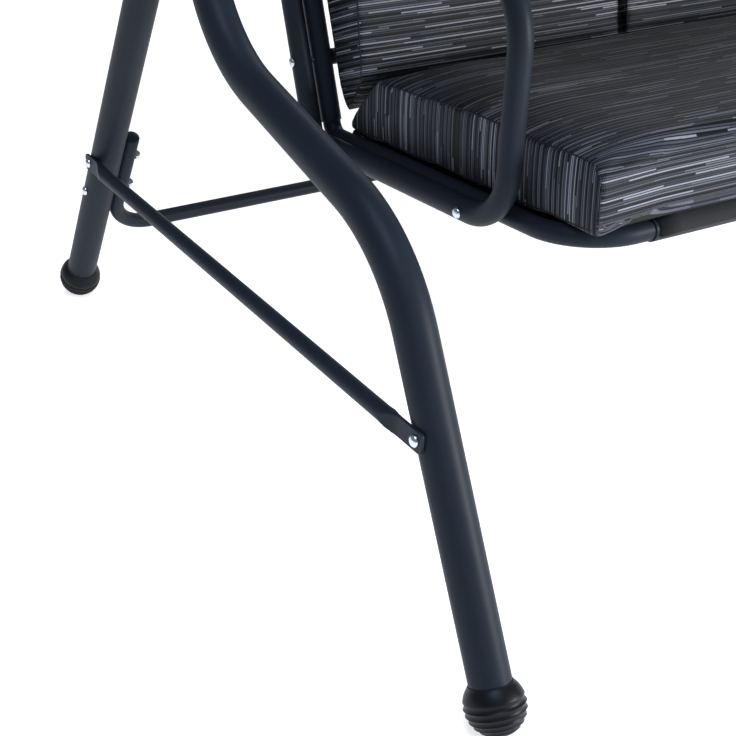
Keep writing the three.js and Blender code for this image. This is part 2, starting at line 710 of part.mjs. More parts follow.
function backCushion(name, low, high) {
  const forward = vec(0, -backUp.z, backUp.y);
  const base = along(uprightEnd, backUp, backCushionLift);
  const at = (height, thickness) => along(along(base, backUp, height), forward, thickness);
  const face = backCushionOffset;
  const outline = [
    at(0, face),
    at(0, face + 0.3 * backCushionThickness),
    at(0.1 * backCushionLength, face + backCushionThickness),
    at(0.85 * backCushionLength, face + backCushionThickness),
    at(backCushionLength, face + 0.6 * backCushionThickness),
    at(backCushionLength, face),
  ];
  return cushion(name, outline.reverse(), low, high);
}

// Canopy side: an arched tube with its ends turned inwards, and a plate down to the tilt pivot
const canopyX = postX + standTube.radius + gap + canopyTube.radius;
const canopyCentreY = canopyPivot.y - canopyForward;
const canopyCorner = (sign) => vec(0, canopyCentreY + sign * canopyHalfDepth, canopyEdgeHeight);
const canopyApex = vec(0, canopyCentreY, canopyEdgeHeight + canopyRise);
const archSlope = Math.atan(canopyRise / canopyHalfDepth);
const archHeight = canopyApex.z - canopyArchRadius * (1 / Math.cos(archSlope) - 1);
const webTop = archHeight - canopyTube.radius / 2;

function canopyArm(side, x, sign) {
  const inner = x - sign * canopyInset;
  const route = [
    shiftX(canopyCorner(-1), inner),
    shiftX(canopyCorner(-1), x),
    shiftX(canopyApex, x),
    shiftX(canopyCorner(1), x),
    shiftX(canopyCorner(1), inner),
  ];
  const radii = [canopyCornerRadius, canopyArchRadius, canopyCornerRadius];
  const arm = pipe(route, radii, canopyTube);
  const outline = [
    [-webSpread, webTop],
    [-bracketFoot, canopyPivot.z],
    [-bracketFoot / 2, canopyPivot.z - bracketFoot],
    [bracketFoot / 2, canopyPivot.z - bracketFoot],
    [bracketFoot, canopyPivot.z],
    [webSpread, webTop],
  ];
  const webShape = polygon(outline.map(([y, z]) => [canopyPivot.y + y, z]));
  const web = plate(webShape, x - canopyPlate / 2, canopyPlate);
  const pivot = shiftX(canopyPivot, x);
  const facing = vec(sign, 0, 0);
  const boss = bar([along(pivot, facing, -canopyTube.radius), pivot], [], bossRadius);
  const clear = bar(overrun(route, 1), radii, canopyTube.radius - canopyTube.wall, { sectors: 8 });
  const stud = hole(pivot, sideX, boltHole, canopyTube.radius + 5);
  return piece("canopy_arm_" + side, arm.add(web.add(boss).subtract(clear)).subtract(stud), powderCoat);
}

function canopyRail(name, sign) {
  const reach = canopyX - canopyCornerRadius - 8;
  const centre = canopyCorner(sign);
  const ends = [shiftX(centre, -reach), shiftX(centre, reach)];
  return piece(name, pipe(ends, [], canopySleeve, { sectors: 12, socket: canopyInset }), powderCoat);
}

// The arched cover with its valances all round, open underneath
function canopyCover() {
  const slope = archSlope;
  const section = (offset, drop) => {
    const end = canopyHalfDepth + offset;
    const eave = canopyEdgeHeight + offset / Math.cos(slope) - offset * Math.tan(slope);
    const apex = canopyEdgeHeight + canopyRise + offset / Math.cos(slope);
    const low = canopyEdgeHeight - drop;
    const at = (y, z) => vec(0, canopyCentreY + y, z);
    const corners = [at(end, low), at(end, eave), at(0, apex), at(-end, eave), at(-end, low)];
    const route = bentPath(corners, [offset, canopyArchRadius + offset, offset], 6);
    return polygon(route.stations.map(({ point }) => [point.y, point.z]));
  };
  const inside = canopySleeve.radius + clothClearance;
  const innerHalf = canopyX + canopyTube.radius + clothClearance;
  const outerHalf = innerHalf + clothThickness;
  const outer = plate(section(inside + clothThickness, valance), -outerHalf, 2 * outerHalf);
  const inner = plate(section(inside, valance + 1), -innerHalf, 2 * innerHalf);
  return piece("canopy_cover", outer.subtract(inner), canopyCloth);
}

// A three-winged knob on a stud through the arm, the top rail and the post
function canopyKnob(side, x, sign) {
  const seat = shiftX(canopyPivot, x + sign * (canopyPlate / 2 + gap));
  const outward = vec(sign, 0, 0);
  const studEnd = -(x * sign - postX) - standTube.radius - bolt.nutHeight;
  let knob = turned(
    [
      [0, studEnd],
      [bolt.shank, studEnd],
      [bolt.shank, 0],
      [12, 0],
      [12, knobHeight],
      [0, knobHeight + 3],
    ],
    seat,
    outward,
    14,
  );
  for (let i = 0; i < 3; i++) {
    const angle = rad(lock + 120 * i);
    const wing = vec(0, Math.cos(angle), Math.sin(angle));
    const root = along(along(seat, outward, knobHeight / 2), wing, 6);
    knob = knob.add(bar([root, along(root, wing, knobReach)], [], 6, { sectors: 10 }));
  }
  return piece("canopy_knob_" + side, knob, blackPlastic);
}

const stand = new THREE.Group();
const seat = new THREE.Group();
const canopy = new THREE.Group();

for (const [side, sign] of sides) {
  const x = sign * postX;
  const inward = vec(-sign, 0, 0);
  const outerFace = sign * (postX + standTube.radius + gap);
  stand.add(frontPost(side, x));
  stand.add(rearLeg(side, x));
  stand.add(footCap("foot_front_" + side, postFoot, lowerPost, x));
  stand.add(footCap("foot_rear_" + side, rearFoot, rearLegUp, x));
  stand.add(sideBrace(side, x, sign));
  const braceFace = outerFace + sign * braceTube.flat;
  const braceFront = shiftX(atHeight(postFoot, lowerPost, braceHeight), braceFace);
  const braceRear = shiftX(atHeight(rearFoot, rearLegUp, braceHeight), braceFace);
  const legGrip = braceTube.flat + gap + 2 * standTube.radius;
  const stretcherGrip = gap + 2 * stretcherTube.radius;
  const insertGrip = braceTube.flat + gap + standTube.wall + boltInsert;
  stand.add(throughBolt("brace_bolt_front_" + side, braceFront, inward, insertGrip, bolt));
  stand.add(throughBolt("brace_bolt_rear_" + side, braceRear, inward, legGrip + stretcherGrip, bolt));
  const legFace = sign * (postX + standTube.radius);
  const stretcherSeat = shiftX(atHeight(rearFoot, rearLegUp, stretcherBoltHeight), legFace);
  const stretcherBoltGrip = 2 * standTube.radius + stretcherGrip;
  stand.add(throughBolt("stretcher_bolt_" + side, stretcherSeat, inward, stretcherBoltGrip, bolt));
  const forkFace = standTube.radius + gap + forkThickness;
  for (const [place, point] of legBolts) {
    const seatPoint = shiftX(point, x + sign * forkFace);
    stand.add(throughBolt("leg_bolt_" + place + "_" + side, seatPoint, inward, 2 * forkFace, bolt));
  }
  const hangerX = sign * (armX - sleeveTube.radius - gap - tabThickness / 2);
  stand.add(swingBracket(side, hangerX));
  const bracketHalf = bracketGap / 2 + bracketWall;
  const pinSeat = shiftX(swingPivot, hangerX + sign * bracketHalf);
  stand.add(throughBolt("pivot_pin_" + side, pinSeat, inward, 2 * bracketHalf, pin));

  const loopX = sign * armX;
  const sideTubeX = sign * seatSideX;
  const armFace = sign * (armX + sleeveTube.radius);
  seat.add(hanger(side, loopX, sign));
  seat.add(armLoop(side, loopX));
  seat.add(seatSide(side, sideTubeX, sign));
  const hangerGrip = 2 * sleeveTube.radius + gap + tabThickness;
  for (const [place, y] of [
    ["front", hangerFrontY],
    ["rear", hangerRearY],
  ]) {
    const seatPoint = vec(armFace, y, armTopZ);
    seat.add(throughBolt("hanger_bolt_" + place + "_" + side, seatPoint, inward, hangerGrip, bolt));
  }
  const tubePair = armX - seatSideX + sleeveTube.radius;
  const frontBolt = shiftX(atDepth(frontArmBoltY), armFace);
  const rearBolt = shiftX(upright(rearArmBoltZ), armFace);
  seat.add(throughBolt("arm_bolt_front_" + side, frontBolt, inward, tubePair + seatTube.radius, bolt));
  seat.add(throughBolt("arm_bolt_rear_" + side, rearBolt, inward, tubePair + sleeveTube.radius + 2, bolt));
  const crossBolt = shiftX(rearRail, armFace);
  seat.add(throughBolt("seat_bolt_" + side, crossBolt, inward, tubePair + seatTube.radius + 2, bolt));

  canopy.add(canopyArm(side, sign * canopyX, sign));
  canopy.add(canopyKnob(side, sign * canopyX, sign));
}
stand.add(rearStretcher());
stand.add(topRail());
seat.add(seatFrontRail());
seat.add(seatCrossFrame());
seat.add(backFrame());
seat.add(backLowerRail());
const seatSlingHalf = seatSideX - slingInset;
const seatSlingRails = [sleeveTube.radius, seatTube.radius];
seat.add(sling("seat_sling", frontRail, rearRail, ...seatSlingRails, seatSlingHalf, slingWrap));
const backLow = upright(rearArmBoltZ);
const backHigh = upright(backFrameTop);
const backSlingHalf = seatSideX - backSlingInset;
const backSlingRails = [stretcherTube.radius, sleeveTube.radius];
seat.add(sling("back_sling", backLow, backHigh, ...backSlingRails, backSlingHalf, slingWrap));
seat.add(seatCushion());
const backWidth = (2 * backCushionHalfSpan - 2 * backCushionSpacing) / 3;
["left", "middle", "right"].forEach((place, i) => {
  const low = -backCushionHalfSpan + i * (backWidth + backCushionSpacing);
  seat.add(backCushion("back_cushion_" + place, low, low + backWidth));
});
canopy.add(canopyRail("canopy_front_rail", -1));
canopy.add(canopyRail("canopy_rear_rail", 1));
canopy.add(canopyCover());

const swing = new THREE.Group();
swing.add(stand, seat, canopy);
export default swing;
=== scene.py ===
import json
import math
import bmesh
import bpy
import numpy as np
from mathutils import Matrix, Vector
from mathutils.bvhtree import BVHTree


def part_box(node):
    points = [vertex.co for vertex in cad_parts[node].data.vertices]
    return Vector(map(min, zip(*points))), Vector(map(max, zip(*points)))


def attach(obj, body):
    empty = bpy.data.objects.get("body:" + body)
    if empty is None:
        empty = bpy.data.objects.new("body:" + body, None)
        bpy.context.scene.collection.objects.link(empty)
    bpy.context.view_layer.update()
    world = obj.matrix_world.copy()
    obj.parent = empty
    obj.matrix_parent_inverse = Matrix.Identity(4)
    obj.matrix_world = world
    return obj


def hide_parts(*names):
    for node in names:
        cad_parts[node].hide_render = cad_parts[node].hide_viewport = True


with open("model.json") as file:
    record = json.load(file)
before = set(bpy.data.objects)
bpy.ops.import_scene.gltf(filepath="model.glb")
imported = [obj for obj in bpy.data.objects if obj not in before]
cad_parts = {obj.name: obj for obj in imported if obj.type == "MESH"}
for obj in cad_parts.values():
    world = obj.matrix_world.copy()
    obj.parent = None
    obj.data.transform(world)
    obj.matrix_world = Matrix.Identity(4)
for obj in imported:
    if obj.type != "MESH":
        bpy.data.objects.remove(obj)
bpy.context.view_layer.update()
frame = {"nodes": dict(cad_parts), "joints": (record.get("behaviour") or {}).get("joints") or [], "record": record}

# metres; X along the width, the seat faces -Y
bodyOf = {node: body for body, nodes in frame["record"]["behaviour"]["bodies"].items() for node in nodes}
slotOf = {part["node"]: part["material_slot"] for part in frame["record"]["subparts"]}
pivots = {joint["name"]: Vector(joint["pos_m"]) for joint in frame["joints"]}
sides = {"left": -1, "right": 1}


# ---- camera first: the open corner of the seat, seen from its front left and above
camera = {"place": (-1.846, -1.525, 1.0893), "azimuth": -28.1, "elevation": 30.26, "lens": 67.2,
          "shift": (0.125, 0.0435)}


def addCamera():
    data = bpy.data.cameras.new("camera")
    data.lens = camera["lens"]
    data.sensor_width = 36
    data.shift_x, data.shift_y = camera["shift"]
    data.clip_start = 0.05
    made = bpy.data.objects.new("camera", data)
    turn, tip = math.radians(camera["azimuth"]), math.radians(camera["elevation"])
    back = Vector((math.sin(turn) * math.cos(tip), -math.cos(turn) * math.cos(tip), math.sin(tip)))
    made.location = camera["place"]
    made.rotation_euler = (-back).to_track_quat("-Z", "Y").to_euler()
    bpy.context.scene.collection.objects.link(made)
    bpy.context.scene.camera = made


addCamera()
print("camera placed")


# ---- materials
def linear(hexColour):
    channels = [int(hexColour[i:i + 2], 16) / 255 for i in (1, 3, 5)]
    return [c / 12.92 if c <= 0.04045 else ((c + 0.055) / 1.055) ** 2.4 for c in channels] + [1]


def addNode(tree, kind, inputs=None, **settings):
    made = tree.nodes.new(kind)
    for key, value in settings.items():
        setattr(made, key, value)
    for key, value in (inputs or {}).items():
        if isinstance(value, bpy.types.NodeSocket):
            tree.links.new(value, made.inputs[key])
        else:
            made.inputs[key].default_value = value
    return made


def startMaterial(name, **shaderValues):
    material = bpy.data.materials.new(name)
    material.use_nodes = True
    tree = material.node_tree
    tree.nodes.clear()
    shader = addNode(tree, "ShaderNodeBsdfPrincipled", shaderValues)
    addNode(tree, "ShaderNodeOutputMaterial", {"Surface": shader.outputs["BSDF"]})
    return material, tree, shader


def mixColours(tree, share, first, second, blend="MIX"):
    made = addNode(tree, "ShaderNodeMix", {0: share, 6: first, 7: second}, data_type="RGBA", blend_type=blend)
    return made.outputs[2]


def calculate(tree, operation, first, second=0.0):
    return addNode(tree, "ShaderNodeMath", {0: first, 1: second}, operation=operation).outputs[0]


def powderCoatedSteel(name, dark, light, roughness):
    # polyester powder baked on steel tube: satin, with a faint orange peel 2 mm across
    values = {"Metallic": 0.0, "Specular IOR Level": 0.1}
    material, tree, shader = startMaterial(name, **values)
    place = addNode(tree, "ShaderNodeTexCoord").outputs["Object"]
    cloud = addNode(tree, "ShaderNodeTexNoise", {"Vector": place, "Scale": 7.0, "Detail": 4.0})
    speck = addNode(tree, "ShaderNodeTexNoise", {"Vector": place, "Scale": 900.0, "Detail": 1.0})
    total = calculate(tree, "ADD", calculate(tree, "MULTIPLY", speck.outputs[0], 0.35),
                      calculate(tree, "MULTIPLY", cloud.outputs[0], 0.65))
    tree.links.new(mixColours(tree, total, linear(dark), linear(light)), shader.inputs["Base Color"])
    rough = addNode(tree, "ShaderNodeMapRange", {0: cloud.outputs[0], 3: roughness - 0.04, 4: roughness + 0.05})
    tree.links.new(rough.outputs[0], shader.inputs["Roughness"])
    peel = addNode(tree, "ShaderNodeTexNoise", {"Vector": place, "Scale": 420.0, "Detail": 2.0})
    bump = addNode(tree, "ShaderNodeBump", {"Strength": 0.12, "Distance": 0.0004, "Height": peel.outputs[0]})
    tree.links.new(bump.outputs[0], shader.inputs["Normal"])
    return material


def mouldedPolypropylene(name, colour):
    # injection-moulded black plastic: even, dull, with a fine spark-eroded grain
    material, tree, shader = startMaterial(name, **{"Roughness": 0.42, "Specular IOR Level": 0.16})
    place = addNode(tree, "ShaderNodeTexCoord").outputs["Object"]
    cloud = addNode(tree, "ShaderNodeTexNoise", {"Vector": place, "Scale": 40.0, "Detail": 3.0})
    dusty = mixColours(tree, cloud.outputs[0], linear(colour), linear("#14161a"))
    tree.links.new(dusty, shader.inputs["Base Color"])
    grain = addNode(tree, "ShaderNodeTexNoise", {"Vector": place, "Scale": 1400.0, "Detail": 1.0})
    bump = addNode(tree, "ShaderNodeBump", {"Strength": 0.25, "Distance": 0.0002, "Height": grain.outputs[0]})
    tree.links.new(bump.outputs[0], shader.inputs["Normal"])
    return material


def zincPlatedSteel(name):
    # bright zinc plate with blue passivation: mirror-like, a little streaky and bluish
    material, tree, shader = startMaterial(name, **{"Metallic": 1.0})
    place = addNode(tree, "ShaderNodeTexCoord").outputs["Object"]
    cloud = addNode(tree, "ShaderNodeTexNoise", {"Vector": place, "Scale": 260.0, "Detail": 3.0})
    tone = mixColours(tree, cloud.outputs[0], linear("#b4c6d6"), linear("#e2e6e6"))
    tree.links.new(tone, shader.inputs["Base Color"])
    rough = addNode(tree, "ShaderNodeMapRange", {0: cloud.outputs[0], 3: 0.14, 4: 0.34})
    tree.links.new(rough.outputs[0], shader.inputs["Roughness"])
    bump = addNode(tree, "ShaderNodeBump", {"Strength": 0.1, "Distance": 0.0002, "Height": cloud.outputs[0]})
    tree.links.new(bump.outputs[0], shader.inputs["Normal"])
    return material


stripes = {"pitch": 0.0032, "shortDash": 0.05, "longDash": 0.24, "blackEvery": 3, "blackShare": 0.8,
           "yarnWidth": 0.62, "crossThread": 0.0024, "ground": "#0d0e12", "black": "#040406"}
yarnTones = [(0.0, "#1b1e24"), (0.08, "#30353e"), (0.35, "#484d58"), (0.66, "#5f646f"), (0.86, "#9196a2")]


def stripedWeave(name):
    # jacquard outdoor polyester: pale yarns 3.2 mm apart in broken dashes on charcoal, with a black
    # line at every third, crossed by fine weft threads
    values = {"Roughness": 0.62, "Specular IOR Level": 0.2, "Sheen Weight": 0.06, "Sheen Roughness": 0.35}
    material, tree, shader = startMaterial(name, **values)
    cloth = addNode(tree, "ShaderNodeUVMap", uv_map="cloth").outputs[0]
    apart = addNode(tree, "ShaderNodeSeparateXYZ", {0: cloth})
    along, across = apart.outputs[0], apart.outputs[1]
    rows = calculate(tree, "DIVIDE", across, stripes["pitch"])
    row = calculate(tree, "FLOOR", rows)
    inRow = calculate(tree, "FRACT", rows)
    rowChance = addNode(tree, "ShaderNodeTexWhiteNoise", {"W": row}, noise_dimensions="1D").outputs[0]
    dash = addNode(tree, "ShaderNodeMapRange", {0: rowChance, 3: stripes["shortDash"],
                                                4: stripes["longDash"]}).outputs[0]
    shifted = calculate(tree, "ADD", calculate(tree, "DIVIDE", along, dash),
                        calculate(tree, "MULTIPLY", rowChance, 31.0))
    cell = addNode(tree, "ShaderNodeCombineXYZ", {0: calculate(tree, "FLOOR", shifted), 1: row})
    noise = addNode(tree, "ShaderNodeTexWhiteNoise", {"Vector": cell.outputs[0]}, noise_dimensions="2D")
    chance = noise.outputs[0]
    yarn = addNode(tree, "ShaderNodeValToRGB", {0: chance})
    yarn.color_ramp.interpolation = "CONSTANT"
    while len(yarn.color_ramp.elements) < len(yarnTones):
        yarn.color_ramp.elements.new(0.5)
    for element, (place, colour) in zip(yarn.color_ramp.elements, yarnTones):
        element.position = place
        element.color = linear(colour)
    tinted = mixColours(tree, 0.05, yarn.outputs[0], noise.outputs[1], "OVERLAY")
    # a round yarn stands in the middle of its row, with the ground showing on both sides
    ridge = calculate(tree, "SINE", calculate(tree, "MULTIPLY", inRow, math.pi))
    edge = math.sin(math.pi * (1 - stripes["yarnWidth"]) / 2)
    isYarn = addNode(tree, "ShaderNodeMapRange", {0: ridge, 1: edge - 0.12, 2: edge + 0.12}).outputs[0]
    weftTurn = calculate(tree, "MULTIPLY", along, 2 * math.pi / stripes["crossThread"])
    weft = addNode(tree, "ShaderNodeMapRange", {0: calculate(tree, "SINE", weftTurn), 1: -1.0}).outputs[0]
    dotted = addNode(tree, "ShaderNodeMapRange", {0: weft, 3: 0.68, 4: 1.0}).outputs[0]
    woven = mixColours(tree, calculate(tree, "MULTIPLY", isYarn, dotted), linear(stripes["ground"]), tinted)
    # every third row is black for most of its length
    turn = calculate(tree, "MODULO", calculate(tree, "ABSOLUTE", row), float(stripes["blackEvery"]))
    isFourth = calculate(tree, "LESS_THAN", turn, 0.5)
    isLong = calculate(tree, "LESS_THAN", chance, stripes["blackShare"])
    banded = mixColours(tree, calculate(tree, "MULTIPLY", isFourth, isLong), woven, linear(stripes["black"]))
    tree.links.new(banded, shader.inputs["Base Color"])
    height = calculate(tree, "ADD", ridge, calculate(tree, "MULTIPLY", weft, 0.4))
    bump = addNode(tree, "ShaderNodeBump", {"Strength": 0.4, "Distance": 0.0006, "Height": height})
    tree.links.new(bump.outputs[0], shader.inputs["Normal"])
    return material


def plainWeave(name, dark, light, thread, sheen):
    # plain-woven polyester: square threads, drawn twice as coarse as real ones so that they show
    values = {"Roughness": 0.8, "Specular IOR Level": 0.3, "Sheen Weight": sheen, "Sheen Roughness": 0.5}
    material, tree, shader = startMaterial(name, **values)
    cloth = addNode(tree, "ShaderNodeUVMap", uv_map="cloth").outputs[0]
    apart = addNode(tree, "ShaderNodeSeparateXYZ", {0: cloth})
    waves = []
    for axis in (0, 1):
        turn = calculate(tree, "MULTIPLY", apart.outputs[axis], math.pi / thread)
        waves.append(calculate(tree, "ABSOLUTE", calculate(tree, "SINE", turn)))
    height = calculate(tree, "MAXIMUM", waves[0], waves[1])
    cloud = addNode(tree, "ShaderNodeTexNoise", {"Vector": cloth, "Scale": 6.0, "Detail": 5.0})
    base = mixColours(tree, cloud.outputs[0], linear(dark), linear(light))
    # painted shade: the colour is darkened where the weave sinks between its threads
    tone = addNode(tree, "ShaderNodeMapRange", {0: height, 1: 0.4, 3: 0.6, 4: 1.0})
    threadGapShade = addNode(tree, "ShaderNodeCombineColor", {0: tone.outputs[0], 1: tone.outputs[0], 2: tone.outputs[0]})
    tree.links.new(mixColours(tree, 1.0, base, threadGapShade.outputs[0], "MULTIPLY"), shader.inputs["Base Color"])
    bump = addNode(tree, "ShaderNodeBump", {"Strength": 0.4, "Distance": 0.0004, "Height": height})
    tree.links.new(bump.outputs[0], shader.inputs["Normal"])
    return material


finishes = {
    "powder_coat": powderCoatedSteel("anthracitePowderCoat", "#1b2128", "#262d36", 0.44),
    "dark_coat": powderCoatedSteel("blackPowderCoat", "#101317", "#171b1f", 0.44),
    "black_plastic": mouldedPolypropylene("blackPolypropylene", "#0c0d10"),
    "zinc": zincPlatedSteel("blueZincPlate"),
    "striped_cloth": stripedWeave("stripedJacquard"),
    "sling_cloth": plainWeave("blackSlingMesh", "#08090b", "#111317", 0.0024, 0.1),
    "canopy_cloth": plainWeave("charcoalAwning", "#24272d", "#30343c", 0.0016, 0.2),
}
seamThread = plainWeave("seamBinding", "#0c0d10", "#1c1e23", 0.0018, 0.05)
print("materials made")


# ---- making tubes and plates
def up(angle):
    return Vector((0, math.cos(math.radians(angle)), math.sin(math.radians(angle))))


def atHeight(point, direction, height):
    return point + direction * ((height - point.z) / direction.z)


def atX(point, x):
    return Vector((x, point.y, point.z))


def bentRoute(corners, bends, stepDegrees=4):
    # straight runs joined by round bends, as (point, direction) stations
    headings = [(b - a).normalized() for a, b in zip(corners, corners[1:])]
    stations = [(corners[0], headings[0])]
    for corner, before, after, bend in zip(corners[1:], headings, headings[1:], bends):
        turn = before.angle(after)
        start = corner - before * bend * math.tan(turn / 2)
        inward = (after - before * math.cos(turn)).normalized()
        steps = max(3, math.ceil(math.degrees(turn) / stepDegrees))
        for k in range(steps + 1):
            angle = turn * k / steps
            point = start + before * bend * math.sin(angle) + inward * bend * (1 - math.cos(angle))
            stations.append((point, before * math.cos(angle) + inward * math.sin(angle)))
    stations.append((corners[-1], headings[-1]))
    return stations


def about(centre, matrix):
    return Matrix.Translation(centre) @ matrix @ Matrix.Translation(-centre)


def growRing(bm, edges, move):
    grown = bmesh.ops.extrude_edge_only(bm, edges=edges)["geom"]
    verts = [g for g in grown if isinstance(g, bmesh.types.BMVert)]
    fresh = set(verts)
    bmesh.ops.transform(bm, matrix=move, verts=verts)
    return [g for g in grown if isinstance(g, bmesh.types.BMEdge) and set(g.verts) <= fresh]


def closeEnd(bm, edges, centre, outward, radius, kind, wall):
    # kind is plain where it is hidden, open for a cut tube, ball or cap for a rounded one
    if kind == "open":
        chamfer = 0.0006
        verts = list({v for e in edges for v in e.verts})
        bmesh.ops.translate(bm, vec=-outward * chamfer, verts=verts)
        inner = radius - wall
        shrink = Matrix.Scale((radius - chamfer) / radius, 4)
        edges = growRing(bm, edges, Matrix.Translation(outward * chamfer) @ about(centre - outward * chamfer, shrink))
        edges = growRing(bm, edges, about(centre, Matrix.Scale(inner / (radius - chamfer), 4)))
        edges = growRing(bm, edges, Matrix.Translation(-outward * 2 * radius))
    if kind in ("ball", "cap"):
        reach = radius if kind == "ball" else 0.35 * radius
        steps, before = 7, (radius, 0.0)
        for k in range(1, steps + 1):
            angle = math.radians(88 * k / steps)
            now = (radius * math.cos(angle), reach * math.sin(angle))
            shift = Matrix.Translation(outward * (now[1] - before[1]))
            at = centre + outward * before[1]
            edges = growRing(bm, edges, shift @ about(at, Matrix.Scale(now[0] / before[0], 4)))
            before = now
    bmesh.ops.contextual_create(bm, geom=edges)


def sweepTube(bm, route, radius, ends=("plain", "plain"), sectors=44, wall=0.0016):
    start, heading = route[0]
    facing = heading.to_track_quat("Z", "Y").to_matrix().to_4x4()
    ring = bmesh.ops.create_circle(bm, segments=sectors, radius=radius,
                                   matrix=Matrix.Translation(start) @ facing)["verts"]
    edges = first = list({e for v in ring for e in v.link_edges})
    for (point, direction), (nextPoint, nextDirection) in zip(route, route[1:]):
        turn = direction.rotation_difference(nextDirection).to_matrix().to_4x4()
        edges = growRing(bm, edges, Matrix.Translation(nextPoint) @ turn @ Matrix.Translation(-point))
    closeEnd(bm, first, start, -heading, radius, ends[0], wall)
    closeEnd(bm, edges, route[-1][0], route[-1][1], radius, ends[1], wall)


def straight(a, b):
    return bentRoute([Vector(a), Vector(b)], [])


def addPlate(bm, outline, x, thickness, bevel=0.0008):
    # a flat plate in a plane of constant X, its outline in (y, z)
    face = bm.faces.new([bm.verts.new((x, y, z)) for y, z in outline])
    grown = bmesh.ops.extrude_face_region(bm, geom=[face])["geom"]
    verts = [g for g in grown if isinstance(g, bmesh.types.BMVert)]
    bmesh.ops.translate(bm, vec=(thickness, 0, 0), verts=verts)
    rims = {e for v in verts for e in v.link_edges if len({round(u.co.x, 6) for u in e.verts}) == 1}
    rims |= {e for e in face.edges}
    bmesh.ops.bevel(bm, geom=list(rims), offset=bevel, affect="EDGES", segments=2, profile=0.5, material=-1)


def addTurned(bm, profile, place, steps=40):
    # profile is (radius, height) pairs, turned about Z and then put in place
    verts = [bm.verts.new((r, 0, h)) for r, h in profile]
    edges = [bm.edges.new(pair) for pair in zip(verts, verts[1:])]
    spun = bmesh.ops.spin(bm, geom=verts + edges, axis=(0, 0, 1), cent=(0, 0, 0), angle=2 * math.pi,
                          steps=steps, use_merge=True)
    found = set(verts)
    reached = list(verts)
    while reached:
        for edge in reached.pop().link_edges:
            for vert in edge.verts:
                if vert not in found:
                    found.add(vert)
                    reached.append(vert)
    bmesh.ops.transform(bm, matrix=place, verts=list(found))
    return spun


def finishPiece(name, bm, finish, nodes, sharp=38):
    # the piece rides with the CAD nodes it stands for and takes their finish
    bmesh.ops.remove_doubles(bm, verts=bm.verts[:], dist=2e-6)
    bmesh.ops.recalc_face_normals(bm, faces=bm.faces[:])
    mesh = bpy.data.meshes.new(name)
    bm.to_mesh(mesh)
    bm.free()
    mesh.polygons.foreach_set("use_smooth", [True] * len(mesh.polygons))
    mesh.set_sharp_from_angle(angle=math.radians(sharp))
    mesh.materials.append(finish)
    piece = bpy.data.objects.new(name, mesh)
    bpy.context.scene.collection.objects.link(piece)
    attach(piece, bodyOf[nodes[0]])
    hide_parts(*nodes)
    return piece


def tubePiece(node, route, radius, ends=("plain", "plain"), extra=None):
    bm = bmesh.new()
    sweepTube(bm, route, radius, ends)
    if extra:
        extra(bm)
    return finishPiece(node + "_steel", bm, finishes[slotOf[node]], [node])


# ---- end frames
stand = {"tube": 0.025, "depth": 1.264, "footHeight": 0.034, "lowerAngle": 62.4, "lowerLength": 0.5206,
         "shoulderAngle": 13.6, "shoulderLength": 0.492, "upperAngle": 89.4, "kneeBend": 0.222,
         "shoulderBend": 0.211, "rearAngle": 121.5, "jointHeight": 1.37, "railHeight": 1.52,
         "railBend": 0.08, "braceHeight": 0.307, "boltHeight": 0.246, "gap": 0.0003}
fork = {"boltReach": 0.042, "margin": 0.024, "tail": 0.15, "thickness": 0.0035}
postLow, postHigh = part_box("front_post_right")
postX = (postLow.x + postHigh.x) / 2
frontFoot = Vector((0, -stand["depth"] / 2, stand["footHeight"]))
rearFoot = Vector((0, stand["depth"] / 2, stand["footHeight"]))
lowerPost, shoulder = up(stand["lowerAngle"]), up(stand["shoulderAngle"])
upperPost, rearLeg = up(stand["upperAngle"]), up(stand["rearAngle"])
knee = frontFoot + lowerPost * stand["lowerLength"]
shoulderCorner = knee + shoulder * stand["shoulderLength"]
postTop = atHeight(shoulderCorner, upperPost, stand["jointHeight"])
railAxis = atHeight(shoulderCorner, upperPost, stand["railHeight"])
between = rearFoot - shoulderCorner
crossing = rearLeg.y * upperPost.z - rearLeg.z * upperPost.y
legJoint = shoulderCorner + upperPost * ((between.z * rearLeg.y - between.y * rearLeg.z) / crossing)


def addPost(side, sign):
    corners = [atX(p, sign * postX) for p in (frontFoot, knee, shoulderCorner, postTop)]
    route = bentRoute(corners, [stand["kneeBend"], stand["shoulderBend"]], 3)
    tubePiece("front_post_" + side, route, stand["tube"], ("plain", "open"))


def addRearLeg(side, sign):
    x = sign * postX
    top = legJoint + upperPost * (fork["boltReach"] + fork["margin"])
    bottom = legJoint - upperPost * (fork["boltReach"] + fork["margin"])
    tail = legJoint - rearLeg * fork["tail"]
    half = stand["tube"] - 0.003
    rearward = Vector((0, upperPost.z, -upperPost.y))
    outline = [top - rearward * half, bottom - rearward * half, tail - rearward * half / 2,
               tail + rearward * half, top + rearward * half]
    inner = stand["tube"] + stand["gap"]

    def ears(bm):
        for start in (x - inner - fork["thickness"], x + inner):
            addPlate(bm, [(p.y, p.z) for p in outline], start, fork["thickness"], 0.001)

    tubePiece("rear_leg_" + side, straight(atX(rearFoot, x), atX(legJoint, x)), stand["tube"], extra=ears)


foot = {"radius": 0.036, "collarTop": 0.0257, "ribs": 5, "groove": 0.0016,
        "lowest": -50, "highest": 14, "shoulder": 43, "lip": 0.0006, "ribSteps": 12, "socket": 0.008}


